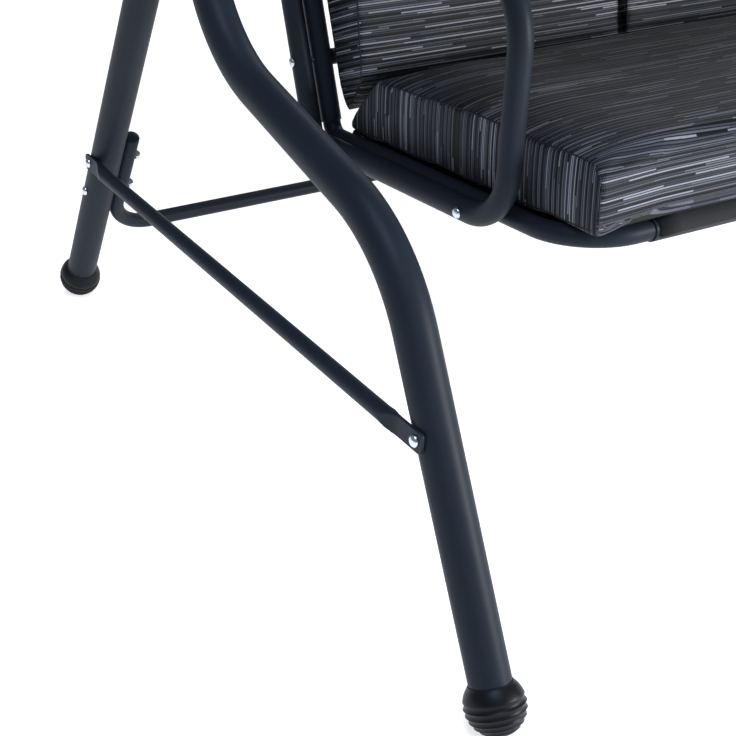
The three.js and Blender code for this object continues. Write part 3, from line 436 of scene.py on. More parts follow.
def footProfile():
    # a ball with raised ribs round its middle and a smooth shoulder up to the collar
    angles = [-90 + (90 + foot["lowest"]) * k / 10 for k in range(10)]
    fine = foot["ribs"] * foot["ribSteps"]
    angles += [foot["lowest"] + (foot["highest"] - foot["lowest"]) * k / fine for k in range(fine)]
    angles += [foot["highest"] + (foot["shoulder"] - foot["highest"]) * k / 6 for k in range(7)]
    profile = []
    for angle in angles:
        reach = foot["radius"]
        if foot["lowest"] < angle < foot["highest"]:
            phase = (angle - foot["lowest"]) / (foot["highest"] - foot["lowest"]) * foot["ribs"] % 1
            reach -= foot["groove"] * math.sin(math.pi * phase) ** 0.8
        turned = math.radians(angle)
        profile.append((max(reach * math.cos(turned), 0.0), reach * math.sin(turned)))
    bore = stand["tube"] + stand["gap"]
    profile.append((bore + foot["lip"], foot["collarTop"]))
    profile.append((bore, foot["collarTop"] - foot["lip"]))
    profile.append((bore, -foot["socket"]))
    profile.append((0.0, -foot["socket"]))
    return profile


def addFoot(place, side, sign):
    node = f"foot_{place}_{side}"
    centre, leg = (frontFoot, lowerPost) if place == "front" else (rearFoot, rearLeg)
    bm = bmesh.new()
    facing = leg.to_track_quat("Z", "Y").to_matrix().to_4x4()
    addTurned(bm, footProfile(), Matrix.Translation(atX(centre, sign * postX)) @ facing, 72)
    bmesh.ops.remove_doubles(bm, verts=bm.verts[:], dist=2e-6)
    everything = bm.verts[:] + bm.edges[:] + bm.faces[:]
    cut = bmesh.ops.bisect_plane(bm, geom=everything, plane_co=(0, 0, 0), plane_no=(0, 0, 1), clear_inner=True)
    rim = [g for g in cut["geom_cut"] if isinstance(g, bmesh.types.BMEdge)]
    bmesh.ops.contextual_create(bm, geom=rim)
    finishPiece(node + "_cap", bm, finishes["black_plastic"], [node], 60)


brace = {"tube": 0.01075, "flat": 0.002, "tip": 0.013, "flatLength": 0.032, "fade": 0.036}


def addBrace(side, sign):
    node = "side_brace_" + side
    x = sign * (postX + stand["tube"] + stand["gap"] + brace["flat"])
    ends = [atHeight(foot, leg, stand["braceHeight"]).y for foot, leg in
            ((frontFoot, lowerPost), (rearFoot, rearLeg))]
    length = ends[1] - ends[0]
    tips = [-brace["tip"] * math.cos(math.radians(a)) for a in range(8, 91, 8)]
    fades = [brace["flatLength"] + brace["fade"] * k / 12 for k in range(13)]
    places = tips + [0.01] + fades
    places += [length - s for s in reversed(places)]

    def halfSizes(s):
        fromEnd = min(s, length - s)
        share = min(max((fromEnd - brace["flatLength"]) / brace["fade"], 0), 1)
        share = share * share * (3 - 2 * share)
        wide = brace["tip"] + (brace["tube"] - brace["tip"]) * share
        thick = brace["flat"] + (brace["tube"] - brace["flat"]) * share
        if fromEnd < 0:
            wide = brace["tip"] * (1 - (-fromEnd / brace["tip"]) ** 5) ** 0.2
        return wide, thick

    bm = bmesh.new()
    facing = Matrix.Rotation(-math.pi / 2, 4, "X")
    firstWide = halfSizes(places[0])[0]
    at = Vector((x, ends[0] + places[0], stand["braceHeight"]))
    ring = bmesh.ops.create_circle(bm, segments=36, radius=firstWide,
                                   matrix=Matrix.Translation(at) @ facing)["verts"]
    edges = first = list({e for v in ring for e in v.link_edges})
    for s, following in zip(places, places[1:]):
        ratio = halfSizes(following)[0] / halfSizes(s)[0]
        at = Vector((x, ends[0] + s, stand["braceHeight"]))
        edges = growRing(bm, edges, Matrix.Translation((0, following - s, 0)) @ about(at, Matrix.Scale(ratio, 4)))
    for rim in (first, edges):
        bmesh.ops.contextual_create(bm, geom=rim)
    for vert in bm.verts:
        thick = halfSizes(vert.co.y - ends[0])[1]
        vert.co.x = x + max(-thick, min(thick, vert.co.x - x))
    finishPiece(node + "_steel", bm, finishes["powder_coat"], [node])


stretcher = {"tube": 0.0125, "height": 0.146, "top": 0.346, "bend": 0.075}


def addStretcher():
    inside = postX - stand["tube"] - stand["gap"] - stretcher["tube"]
    top = atHeight(rearFoot, rearLeg, stretcher["top"])
    corner = atHeight(rearFoot, rearLeg, stretcher["height"])
    corners = [atX(top, -inside), atX(corner, -inside), atX(corner, inside), atX(top, inside)]
    route = bentRoute(corners, [stretcher["bend"]] * 2)
    tubePiece("rear_stretcher", route, stretcher["tube"], ("cap", "cap"))


def addTopRail():
    end = postTop + upperPost * stand["gap"]
    corners = [atX(end, -postX), atX(railAxis, -postX), atX(railAxis, postX), atX(end, postX)]
    tubePiece("top_rail", bentRoute(corners, [stand["railBend"]] * 2), stand["tube"], ("open", "open"))


for side, sign in sides.items():
    addPost(side, sign)
    addRearLeg(side, sign)
    addBrace(side, sign)
    addFoot("front", side, sign)
    addFoot("rear", side, sign)
addStretcher()
addTopRail()
print("stand made")


# ---- seat frame
seat = {"seatTube": 0.014, "sleeve": 0.016, "tilt": 4, "backTilt": 21, "frontY": -0.328, "frontZ": 0.4,
        "frontHalf": 0.673, "overlap": 0.06, "bend": 0.09, "rearBend": 0.026, "uprightY": 0.278,
        "uprightZ": 0.379, "backTop": 0.93, "backBend": 0.09, "armFrontY": -0.224, "armGap": 0.004,
        "armTop": 0.715, "armBottomBend": 0.08, "armFrontBend": 0.095, "armRearBend": 0.07,
        "lowerRail": 0.47, "rearRailY": 0.225, "support": 0.01, "supportDrop": 0.006}
armLow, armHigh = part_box("arm_loop_right")
armX = (armLow.x + armHigh.x) / 2
sideX = armX - 2 * seat["sleeve"] - seat["armGap"]
seatRun = Vector((0, math.cos(math.radians(seat["tilt"])), -math.sin(math.radians(seat["tilt"]))))
seatUp = Vector((0, -seatRun.z, seatRun.y))
backUp = Vector((0, math.sin(math.radians(seat["backTilt"])), math.cos(math.radians(seat["backTilt"]))))
backFront = Vector((0, -backUp.z, backUp.y))
frontRail = Vector((0, seat["frontY"], seat["frontZ"]))
uprightEnd = Vector((0, seat["uprightY"], seat["uprightZ"]))
rearRail = frontRail + seatRun * ((seat["rearRailY"] - seat["frontY"]) / seatRun.y)
backNormal = Vector((0, backUp.z, -backUp.y))
rearCorner = frontRail + seatRun * ((uprightEnd - frontRail).dot(backNormal) / seatRun.dot(backNormal))


def addArmLoop(side, sign):
    x = sign * armX
    bottomFront = frontRail + seatRun * ((seat["armFrontY"] - seat["frontY"]) / seatRun.y)
    topFront = Vector((x, seat["armFrontY"], seat["armTop"]))
    topRear = atHeight(uprightEnd, backUp, seat["armTop"])
    corners = [atX(rearCorner, x), atX(bottomFront, x), topFront, atX(topRear, x), atX(rearCorner, x)]
    bends = [seat["armBottomBend"], seat["armFrontBend"], seat["armRearBend"]]
    tubePiece("arm_loop_" + side, bentRoute(corners, bends, 3), seat["sleeve"], ("ball", "ball"))


def addSeatSide(side, sign):
    x, inner = sign * sideX, sign * (seat["frontHalf"] - seat["overlap"])
    corners = [atX(frontRail, inner), atX(frontRail, x), atX(rearCorner, x),
               atX(uprightEnd + backUp * seat["overlap"], x)]
    tubePiece("seat_side_" + side, bentRoute(corners, [seat["bend"], seat["rearBend"]]), seat["seatTube"])


def addSeatRails():
    half = seat["frontHalf"]
    tubePiece("seat_front_rail", straight(atX(frontRail, -half), atX(frontRail, half)), seat["sleeve"],
              ("open", "open"))
    reach = sideX - seat["seatTube"] - stand["gap"]
    drop = Vector((0, 0, -seat["supportDrop"]))
    start = frontRail + drop + seatRun * (seat["sleeve"] - 0.001)

    def support(bm):
        sweepTube(bm, straight(start, rearRail + drop), seat["support"])

    tubePiece("seat_cross_frame", straight(atX(rearRail, -reach), atX(rearRail, reach)), seat["seatTube"],
              extra=support)
    corner = atHeight(uprightEnd, backUp, seat["backTop"])
    corners = [atX(uprightEnd, -sideX), atX(corner, -sideX), atX(corner, sideX), atX(uprightEnd, sideX)]
    tubePiece("back_frame", bentRoute(corners, [seat["backBend"]] * 2), seat["sleeve"], ("open", "open"))
    lower = atHeight(uprightEnd, backUp, seat["lowerRail"])
    reach = sideX - seat["sleeve"] - stand["gap"]
    tubePiece("back_lower_rail", straight(atX(lower, -reach), atX(lower, reach)), stretcher["tube"])


hanger = {"rod": 0.006, "eye": 0.012, "eyeLength": 0.022, "bore": 0.0053, "tab": 0.005, "tabWidth": 0.012,
          "tabReach": 0.034, "frontY": -0.11, "rearY": 0.3}


def roundedEnd(centre, direction, across, width, steps=10):
    turned = [math.radians(-90 + 180 * k / steps) for k in range(steps + 1)]
    return [centre + direction * width * math.cos(a) + across * width * math.sin(a) for a in turned]


def addHanger(side, sign):
    node = "hanger_" + side
    plane = sign * (armX - seat["sleeve"] - stand["gap"] - hanger["tab"] / 2)
    eye = atX(pivots["seat_swing"], plane)
    bm = bmesh.new()
    half, wall = hanger["eyeLength"] / 2, hanger["eye"] - hanger["bore"]
    profile = [(hanger["bore"], -half), (hanger["eye"] - 0.001, -half), (hanger["eye"], 0.001 - half),
               (hanger["eye"], half - 0.001), (hanger["eye"] - 0.001, half), (hanger["bore"], half),
               (hanger["bore"], -half)]
    addTurned(bm, profile, Matrix.Translation(eye) @ Matrix.Rotation(math.pi / 2, 4, "Y"))
    for y in (hanger["frontY"], hanger["rearY"]):
        tab = Vector((plane, y, seat["armTop"]))
        rise = (eye - tab).normalized()
        across = Vector((0, rise.z, -rise.y))
        sweepTube(bm, straight(tab + rise * hanger["tabReach"], eye - rise * (wall / 2 + hanger["bore"])),
                  hanger["rod"], ("ball", "plain"), 28)
        width = hanger["tabWidth"]
        neck = tab + rise * (hanger["tabReach"] + width)
        outline = roundedEnd(tab, -rise, -across, width)
        outline += roundedEnd(neck, rise, across, 0.4 * width, 6)
        addPlate(bm, [(p.y, p.z) for p in outline], plane - hanger["tab"] / 2, hanger["tab"])
    finishPiece(node + "_steel", bm, finishes["dark_coat"], [node])


bracket = {"wall": 0.004, "gap": 0.026, "foot": 0.015}


def addBracket(side, sign):
    node = "swing_bracket_" + side
    low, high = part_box(node)
    x = (low.x + high.x) / 2
    pivot = pivots["seat_swing"]
    bm = bmesh.new()
    outer = bracket["gap"] / 2 + bracket["wall"]
    bore, collar = stand["tube"] + stand["gap"], stand["tube"] + bracket["wall"]
    ring = [(bore, -outer), (collar - 0.001, -outer), (collar, 0.001 - outer), (collar, outer - 0.001),
            (collar - 0.001, outer), (bore, outer), (bore, -outer)]
    addTurned(bm, ring, Matrix.Translation(atX(railAxis, x)) @ Matrix.Rotation(math.pi / 2, 4, "Y"), 56)
    drop = Vector((0, pivot.y - railAxis.y, pivot.z - railAxis.z))
    lean = math.atan2(drop.y, -drop.z)
    spread = math.asin((collar - bracket["foot"]) / drop.length)
    outline = []
    for centre, radius, start, end in ((railAxis, collar - 0.0005, lean - spread, math.pi + spread + lean),
                                       (pivot, bracket["foot"], math.pi + spread + lean,
                                        2 * math.pi + lean - spread)):
        for k in range(17):
            angle = start + (end - start) * k / 16
            outline.append((centre.y + radius * math.cos(angle), centre.z + radius * math.sin(angle)))
    # the ears hang below the collar, so that their tops hide inside its wall
    outline = [(y, z) for y, z in outline if z < railAxis.z - 0.6 * stand["tube"]]
    outline = sorted(outline, key=lambda p: math.atan2(p[1] - pivot.z + 0.02, p[0] - pivot.y))
    for start in (x - outer, x + bracket["gap"] / 2):
        addPlate(bm, outline, start, bracket["wall"])
    finishPiece(node + "_steel", bm, finishes["dark_coat"], [node])


for side, sign in sides.items():
    addArmLoop(side, sign)
    addSeatSide(side, sign)
    addHanger(side, sign)
    addBracket(side, sign)
addSeatRails()
print("seat frame made")


# ---- bolts and pins, each laid along X with its head outwards
fastener = {"bolt": (0.004, 0.0075, 0.005, 0.0075, 0.0065, 0.0025),
            "pin": (0.005, 0.009, 0.005, 0.0095, 0.008, 0.003)}


def addFastener(node):
    shank, head, headHeight, nut, nutHeight, tail = fastener["pin" if "pin" in node else "bolt"]
    low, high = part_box(node)
    centre = (low + high) / 2
    length = high.x - low.x
    outward = 1 if centre.x > 0 else -1
    facing = Matrix.Rotation(-outward * math.pi / 2, 4, "Y")
    place = Matrix.Translation((high.x if outward > 0 else low.x, centre.y, centre.z)) @ facing
    bm = bmesh.new()
    dome = [(head * math.sin(math.radians(a)), headHeight * (1 - math.cos(math.radians(a))))
            for a in range(0, 91, 9)]
    rest = [(head - 0.0004, headHeight), (shank, headHeight), (shank, length - 0.0008),
            (shank - 0.0008, length), (0, length)]
    addTurned(bm, dome + rest, place, 32)
    nutRing = bmesh.ops.create_circle(bm, cap_ends=True, segments=6, radius=nut)["verts"]
    top = length - tail - nutHeight
    face = nutRing[0].link_faces[0]
    grown = bmesh.ops.extrude_face_region(bm, geom=[face])["geom"]
    raised = [g for g in grown if isinstance(g, bmesh.types.BMVert)]
    bmesh.ops.translate(bm, vec=(0, 0, nutHeight), verts=raised)
    verts = nutRing + raised
    rims = list({e for v in verts for e in v.link_edges})
    bevelled = bmesh.ops.bevel(bm, geom=rims, offset=0.0006, affect="EDGES", segments=2, profile=0.5,
                               material=-1)
    nutVerts = list({v for f in bevelled["faces"] for v in f.verts})
    bmesh.ops.transform(bm, matrix=place @ Matrix.Translation((0, 0, top)), verts=nutVerts)
    finishPiece(node + "_zinc", bm, finishes["zinc"], [node], 30)


for node in sorted(slotOf):
    if slotOf[node] == "zinc":
        addFastener(node)
print("fasteners made")


# ---- cloth stretched between rails
wrapPoints = {"count": 12, "between": 24}


def wrapRoute(first, second, firstRadius, secondRadius, wrapDegrees, sag):
    # over both rails and down round each of them, in (y, z)
    run = second - first
    facing = math.atan2(run.z, run.y) + math.acos((firstRadius - secondRadius) / run.length)
    wrap = math.radians(wrapDegrees)
    points = []
    for centre, radius, start, end in ((first, firstRadius, facing + wrap, facing),
                                       (second, secondRadius, facing, facing - wrap)):
        for k in range(wrapPoints["count"] + 1):
            angle = start + (end - start) * k / wrapPoints["count"]
            points.append(Vector((0, centre.y + radius * math.cos(angle), centre.z + radius * math.sin(angle))))
        if centre == first:
            a = points[-1]
            b = second + Vector((0, math.cos(facing), math.sin(facing))) * secondRadius
            normal = Vector((0, math.cos(facing), math.sin(facing)))
            for k in range(1, wrapPoints["between"]):
                share = k / wrapPoints["between"]
                points.append(a.lerp(b, share) - normal * sag * 4 * share * (1 - share))
    return points


def clothMap(mesh, mapOf):
    # mapOf gives (along, across) in metres for a point and its face's normal
    layer = mesh.uv_layers.new(name="cloth")
    for polygon in mesh.polygons:
        for loop in polygon.loop_indices:
            point = mesh.vertices[mesh.loops[loop].vertex_index].co
            layer.data[loop].uv = mapOf(point, polygon.normal)


def addSling(node, points, halfWidth, shape):
    # shape: how much narrower the cloth is where it starts, over what length, and how its side hems hang
    bm = bmesh.new()
    verts = [bm.verts.new(p - Vector((halfWidth, 0, 0))) for p in points]
    edges = [bm.edges.new(pair) for pair in zip(verts, verts[1:])]
    steps = 40
    for k in range(steps):
        edges = growRing(bm, edges, Matrix.Translation((2 * halfWidth / steps, 0, 0)))
    distance = [0.0]
    for a, b in zip(points, points[1:]):
        distance.append(distance[-1] + (b - a).length)
    section = np.array([(p.y, p.z) for p in points])

    def travelled(point):
        return distance[int(np.argmin(((section - (point.y, point.z)) ** 2).sum(1)))]

    wrapped = wrapPoints["count"]
    flatStart, flatEnd = distance[wrapped], distance[-wrapped - 1]
    for vert in bm.verts:
        along = travelled(vert.co)
        fromRail = min(max((along - flatStart) / shape["taper"], 0), 1)
        hang = math.sin(math.pi * min(max((along - flatStart) / (flatEnd - flatStart), 0), 1)) ** 0.5
        hem = max(0, (abs(vert.co.x) - halfWidth + shape["hem"]) / shape["hem"])
        vert.co.x *= 1 - shape["narrow"] * (1 - math.sqrt(1 - (1 - fromRail) ** 2))
        vert.co.z -= shape["hang"] * hang * hem * hem
    bmesh.ops.recalc_face_normals(bm, faces=bm.faces[:])
    piece = finishPiece(node + "_cloth", bm, finishes["sling_cloth"], [node])
    clothMap(piece.data, lambda point, normal: (point.x, travelled(point)))
    wall = piece.modifiers.new("thickness", "SOLIDIFY")
    wall.thickness = slings["cloth"] * 0.9
    wall.offset = 0


slings = {"cloth": 0.0025, "seatHalf": 0.768, "backHalf": 0.69, "wrap": 110, "sag": 0.001}


def addSlings():
    offset = stand["gap"] + slings["cloth"] / 2
    points = wrapRoute(frontRail, rearRail, seat["sleeve"] + offset, seat["seatTube"] + offset,
                       slings["wrap"], slings["sag"])
    narrow = 1 - (seat["frontHalf"] - 0.006) / slings["seatHalf"]
    addSling("seat_sling", points, slings["seatHalf"],
             {"narrow": narrow, "taper": 0.11, "hem": 0.03, "hang": 0.022})
    low = atHeight(uprightEnd, backUp, seat["lowerRail"])
    high = atHeight(uprightEnd, backUp, seat["backTop"])
    points = wrapRoute(low, high, stretcher["tube"] + offset, seat["sleeve"] + offset, slings["wrap"],
                       slings["sag"])
    addSling("back_sling", points, slings["backHalf"],
             {"narrow": 0.0, "taper": 0.1, "hem": 0.01, "hang": 0.0})


addSlings()
print("slings made")


# ---- cushions
def swell(mesh, pinned, pressure, caps):
    # blows the cover up from inside; caps says how far each point may move
    moving = bpy.data.objects.new("swelling", mesh)
    bpy.context.scene.collection.objects.link(moving)
    group = moving.vertex_groups.new(name="seams")
    for index, weight in enumerate(pinned):
        if weight > 0:
            group.add([index], weight, "REPLACE")
    cloth = moving.modifiers.new("cloth", "CLOTH")
    cloth.settings.use_pressure = True
    cloth.settings.uniform_pressure_force = pressure
    cloth.settings.effector_weights.gravity = 0
    cloth.settings.vertex_group_mass = "seams"
    cloth.settings.quality = 4
    cloth.settings.tension_stiffness = 12
    cloth.settings.compression_stiffness = 12
    cloth.settings.bending_stiffness = 2
    cloth.point_cache.frame_start, cloth.point_cache.frame_end = 1, 20
    start = np.empty(len(mesh.vertices) * 3)
    mesh.vertices.foreach_get("co", start)
    for step in range(1, 21):
        bpy.context.scene.frame_set(step)
    done = moving.evaluated_get(bpy.context.evaluated_depsgraph_get()).to_mesh()
    end = np.empty_like(start)
    done.vertices.foreach_get("co", end)
    bpy.data.objects.remove(moving)
    bpy.context.scene.frame_set(1)
    start, end = start.reshape(-1, 3), end.reshape(-1, 3)
    shift = end - start
    size = np.linalg.norm(shift, axis=1)[:, None]
    shift *= np.minimum(1, caps[:, None] / np.maximum(size, 1e-9))
    mesh.vertices.foreach_set("co", (start + shift).ravel())
    mesh.update()


def throughModifier(mesh, kind, **settings):
    holder = bpy.data.objects.new("holder", mesh)
    bpy.context.scene.collection.objects.link(holder)
    modifier = holder.modifiers.new("step", kind)
    for key, value in settings.items():
        setattr(modifier, key, value)
    ready = holder.evaluated_get(bpy.context.evaluated_depsgraph_get())
    made = bpy.data.meshes.new_from_object(ready)
    bpy.data.objects.remove(holder)
    return made


def sectionDistance(section, places):
    # for points in (y, z): how far round the closed section the nearest place is, and how far off it
    best = np.full(len(places), 1e9)
    travel = np.zeros(len(places))
    walked = 0.0
    for a, b in zip(section, np.roll(section, -1, axis=0)):
        run = b - a
        length = np.linalg.norm(run)
        share = np.clip((places - a) @ run / length ** 2, 0, 1)
        away = np.linalg.norm(places - (a + share[:, None] * run), axis=1)
        closer = away < best
        best[closer] = away[closer]
        travel[closer] = walked + share[closer] * length
        walked += length
    return travel, best


def roundedSection(corners, bends):
    # closed outline in (y, z) with each corner rounded
    looped = [Vector((0, *c)) for c in corners]
    points = []
    for i, corner in enumerate(looped):
        before, after = looped[i - 1], looped[(i + 1) % len(looped)]
        route = bentRoute([(before + corner) / 2, corner, (corner + after) / 2], [bends[i]], 15)
        points += [(p.y, p.z) for p, _ in route[1:-1]]
    return np.array(points)


def addCushion(node, section, low, high, run, facing, down, look):
    # section: closed outline in (y, z); run: along the striped face; facing: out of it
    bm = bmesh.new()
    face = bm.faces.new([bm.verts.new((low, y, z)) for y, z in section])
    grown = bmesh.ops.extrude_face_region(bm, geom=[face])["geom"]
    verts = [g for g in grown if isinstance(g, bmesh.types.BMVert)]
    bmesh.ops.translate(bm, vec=(high - low, 0, 0), verts=verts)
    bmesh.ops.recalc_face_normals(bm, faces=bm.faces[:])
    rims = [e for e in bm.edges if len({round(v.co.x, 6) for v in e.verts}) == 1]
    bmesh.ops.bevel(bm, geom=rims, offset=look["edge"], affect="EDGES", segments=3, profile=0.5, material=-1)
    bmesh.ops.triangulate(bm, faces=bm.faces[:])
    mesh = bpy.data.meshes.new(node)
    bm.to_mesh(mesh)
    bm.free()
    mesh = throughModifier(mesh, "REMESH", mode="VOXEL", voxel_size=look["voxel"])
    count = len(mesh.vertices)
    co = np.empty(count * 3)
    mesh.vertices.foreach_get("co", co)
    normals = np.empty(count * 3)
    mesh.vertices.foreach_get("normal", normals)
    co, normals = co.reshape(-1, 3), normals.reshape(-1, 3)
    _, off = sectionDistance(section, co[:, 1:])
    fromSide = np.minimum(co[:, 0] - low, high - co[:, 0])
    seams = (off < 1.1 * look["voxel"]) & (fromSide < 1.1 * look["voxel"])
    caps = look["cap"] * np.sin(np.clip(fromSide / look["rise"], 0.05, 1) * math.pi / 2)
    onSide = np.abs(normals[:, 0]) > 0.7
    caps[onSide] = look["sideCap"] * np.sin(np.clip(off[onSide] / look["sideRise"], 0.05, 1) * math.pi / 2)
    caps[normals @ np.array(down) > 0.6] = 0.0008
    # the cap fades in from the seams, so that the cover pulls in at them
    swell(mesh, seams.astype(float), look["pressure"], caps)
    mesh = throughModifier(mesh, "SUBSURF", levels=1, render_levels=1)
    count = len(mesh.vertices)
    co = np.empty(count * 3)
    mesh.vertices.foreach_get("co", co)
    co = co.reshape(-1, 3)
    dent(co, section, low, high, look)
    # the free edges hang a little where nothing is under them
    height = (co[:, 1:] - section[0]) @ -np.array(down[1:])
    beyond = (np.abs(co[:, 0]) - look["heldTo"]) / look["droopReach"]
    free = np.clip(1 - height / look["droopReach"], 0, 1) * np.clip(beyond, 0, 1)
    co[:, 1:] += look["droop"] * free[:, None] * np.array(down[1:])
    mesh.vertices.foreach_set("co", co.ravel())
    mesh.update()
    stripeMap(mesh, co, section, low, high, run, facing)
    mesh.polygons.foreach_set("use_smooth", [True] * len(mesh.polygons))
    mesh.materials.append(finishes["striped_cloth"])
    piece = bpy.data.objects.new(node + "_cover", mesh)
    bpy.context.scene.collection.objects.link(piece)
    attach(piece, bodyOf[node])
    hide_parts(node)
    return piece


def dent(co, section, low, high, look):
    # shallow puckers where the cover is gathered into its side seams
    travel, off = sectionDistance(section, co[:, 1:])
    fromSide = np.minimum(co[:, 0] - low, high - co[:, 0])
    fade = np.exp(-np.abs(fromSide) / look["puckerReach"]) * (fromSide > 0.004)
    wave = np.sin(travel * 2 * math.pi / look["puckerPitch"] + 1.7 * np.sin(travel * 23.0))
    slow = np.sin(co[:, 0] * 9.0 + 1.3 * np.sin(travel * 11.0)) * np.sin(travel * 14.0 + co[:, 0] * 3.1)
    middle = section.mean(0)
    outward = co[:, 1:] - middle
    outward /= np.linalg.norm(outward, axis=1)[:, None]
    amount = look["pucker"] * wave * fade + look["unevenness"] * slow * (off < 0.03)
    co[:, 1:] += outward * amount[:, None]


def stripeMap(mesh, co, section, low, high, run, facing):
    travel, _ = sectionDistance(section, co[:, 1:])
    runYz, facingYz = np.array(run[1:]), np.array(facing[1:])
    outline = np.vstack([section, section[:1]])
    steps = np.concatenate([[0], np.cumsum(np.linalg.norm(np.diff(outline, axis=0), axis=1))])
    middle = section.mean(0)
    front = (outline - middle) @ facingYz > 0.2 * ((outline - middle) @ facingYz).max()
    order = np.argsort((outline @ runYz)[front])
    tableRun, tableTravel = (outline @ runYz)[front][order], steps[front][order]
    tableTop = (outline @ facingYz)[front][order]
    # past the ends of the striped face the side's stripes go on at the same pitch
    beyond = 0.2 * np.sign(tableTravel[-1] - tableTravel[0])
    tableRun = np.concatenate([[tableRun[0] - 0.2], tableRun, [tableRun[-1] + 0.2]])
    tableTravel = np.concatenate([[tableTravel[0] - beyond], tableTravel, [tableTravel[-1] + beyond]])
    tableTop = np.concatenate([[tableTop[0]], tableTop, [tableTop[-1]]])
    sideRun = co[:, 1:] @ runYz
    sideAcross = np.interp(sideRun, tableRun, tableTravel)
    sideDepth = np.interp(sideRun, tableRun, tableTop) - co[:, 1:] @ facingYz
    loops = np.empty(len(mesh.loops), int)
    mesh.loops.foreach_get("vertex_index", loops)
    faceNormals = np.empty(len(mesh.polygons) * 3)
    mesh.polygons.foreach_get("normal", faceNormals)
    totals = np.empty(len(mesh.polygons), int)
    mesh.polygons.foreach_get("loop_total", totals)
    across = np.repeat(faceNormals.reshape(-1, 3)[:, 0], totals)
    onSide = np.abs(across) > 0.72
    uv = np.empty((len(loops), 2))
    uv[:, 0] = np.where(onSide, np.where(across > 0, high, low) + np.sign(across) * sideDepth[loops],
                        co[loops, 0])
    uv[:, 1] = np.where(onSide, sideAcross[loops], travel[loops])
    layer = mesh.uv_layers.new(name="cloth")
    layer.data.foreach_set("uv", uv.ravel())


def addPiping(name, piece, nodes, lines, radius):
    # a sewn binding that follows the cover's surface along each line of (x, y, z) points
    tree = BVHTree.FromObject(piece, bpy.context.evaluated_depsgraph_get())
    bm = bmesh.new()
    for line in lines:
        found = [tree.find_nearest(Vector(p))[0] for p in line]
        for _ in range(2):
            found = [found[0]] + [(a + b * 2 + c) / 4 for a, b, c in zip(found, found[1:], found[2:])] + [found[-1]]
        headings = [(b - a).normalized() for a, b in zip(found, found[1:])]
        headings = [headings[0]] + [(a + b).normalized() for a, b in zip(headings, headings[1:])] + [headings[-1]]
        sweepTube(bm, list(zip(found, headings)), radius, ("ball", "ball"), 10)
    bmesh.ops.recalc_face_normals(bm, faces=bm.faces[:])
    mesh = bpy.data.meshes.new(name)
    bm.to_mesh(mesh)
    bm.free()
    mesh.polygons.foreach_set("use_smooth", [True] * len(mesh.polygons))
    mesh.materials.append(seamThread)
    made = bpy.data.objects.new(name, mesh)
    bpy.context.scene.collection.objects.link(made)
    clothMap(mesh, lambda point, normal: (point.x + point.y, point.z + 0.3 * point.y))
    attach(made, bodyOf[nodes[0]])
    return made


def piping(piece, node, section, low, high, spans):
    # spans: runs of the section, as shares of its way round, that carry a seam at both ends
    outline = np.vstack([section, section[:1]])
    steps = np.concatenate([[0], np.cumsum(np.linalg.norm(np.diff(outline, axis=0), axis=1))])
    lines = []
    for start, end in spans:
        places = np.arange(start, end, 0.012 / steps[-1]) * steps[-1] % steps[-1]
        for x in (low, high):
            lines.append([(x, np.interp(s, steps, outline[:, 0]), np.interp(s, steps, outline[:, 1]))
                          for s in places])
    addPiping(node + "_seams", piece, [node], lines, 0.0011)


seatCushion = {"frontY": -0.350, "rearY": 0.257, "thickness": 0.088, "rearLean": 1.1, "crown": 0.006,
               "look": {"edge": 0.005, "voxel": 0.009, "cap": 0.012, "sideCap": 0.005, "pressure": 4.0,
                        "fill": 0.75, "pucker": 0.0014, "puckerPitch": 0.041, "puckerReach": 0.03,
                        "unevenness": 0.0016, "rise": 0.13, "sideRise": 0.035, "droop": 0.007, "droopReach": 0.045, "heldTo": 0.729}}
backCushion = {"lift": 0.02, "offset": 0.02, "thickness": 0.088, "length": 0.543,
               "look": {"edge": 0.005, "voxel": 0.0072, "cap": 0.013, "sideCap": 0.006, "pressure": 4.0,
                        "fill": 0.7, "pucker": 0.0014, "puckerPitch": 0.037, "puckerReach": 0.03,
                        "unevenness": 0.0016, "rise": 0.13, "sideRise": 0.035, "droop": 0.01, "droopReach": 0.06, "heldTo": 0.705}}


def addSeatCushion():
    low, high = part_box("seat_cushion")
    inset = 0.001
    rise = seat["sleeve"] + stand["gap"] + slings["cloth"] + 0.001
    base = frontRail + seatUp * rise
    thick, crown = seatCushion["thickness"], seatCushion["crown"]

    def at(y, height):
        point = base + seatRun * (y - seat["frontY"]) + seatUp * height
        return point.y, point.z

    rear = seatCushion["rearY"]
    front = seatCushion["frontY"]
    corners = [at(front, 0), at(rear, 0), at(rear - seatCushion["rearLean"] * thick, thick),
               at(-0.06, thick + crown), at(front, thick)]
    section = roundedSection(corners, [0.006, 0.012, 0.028, 0.4, 0.024])
    piece = addCushion("seat_cushion", section, low.x + inset, high.x - inset, seatRun, seatUp, -seatUp,
                       seatCushion["look"])
    piping(piece, "seat_cushion", section, low.x + inset, high.x - inset, [(0.0, 0.999)])


def addBackCushion(place):
    node = "back_cushion_" + place
    low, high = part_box(node)
    base = uprightEnd + backUp * backCushion["lift"]
    length, thick, face = backCushion["length"], backCushion["thickness"], backCushion["offset"]

    def at(height, depth):
        point = base + backUp * height + backFront * (face + depth)
        return point.y, point.z

    corners = [at(-0.014, 0.01), at(0.03, 0.064), at(0.16, thick), at(0.88 * length, thick),
               at(length, 0.66 * thick), at(length, 0), at(0.03, 0)]
    section = roundedSection(corners, [0.008, 0.02, 0.2, 0.06, 0.03, 0.02, 0.01])
    piece = addCushion(node, section, low.x + 0.003, high.x - 0.003, backUp, backFront, -backFront,
                       backCushion["look"])
    piping(piece, node, section, low.x + 0.003, high.x - 0.003, [(0.0, 0.999)])


addSeatCushion()
for place in ("left", "middle", "right"):
    addBackCushion(place)
print("cushions made")


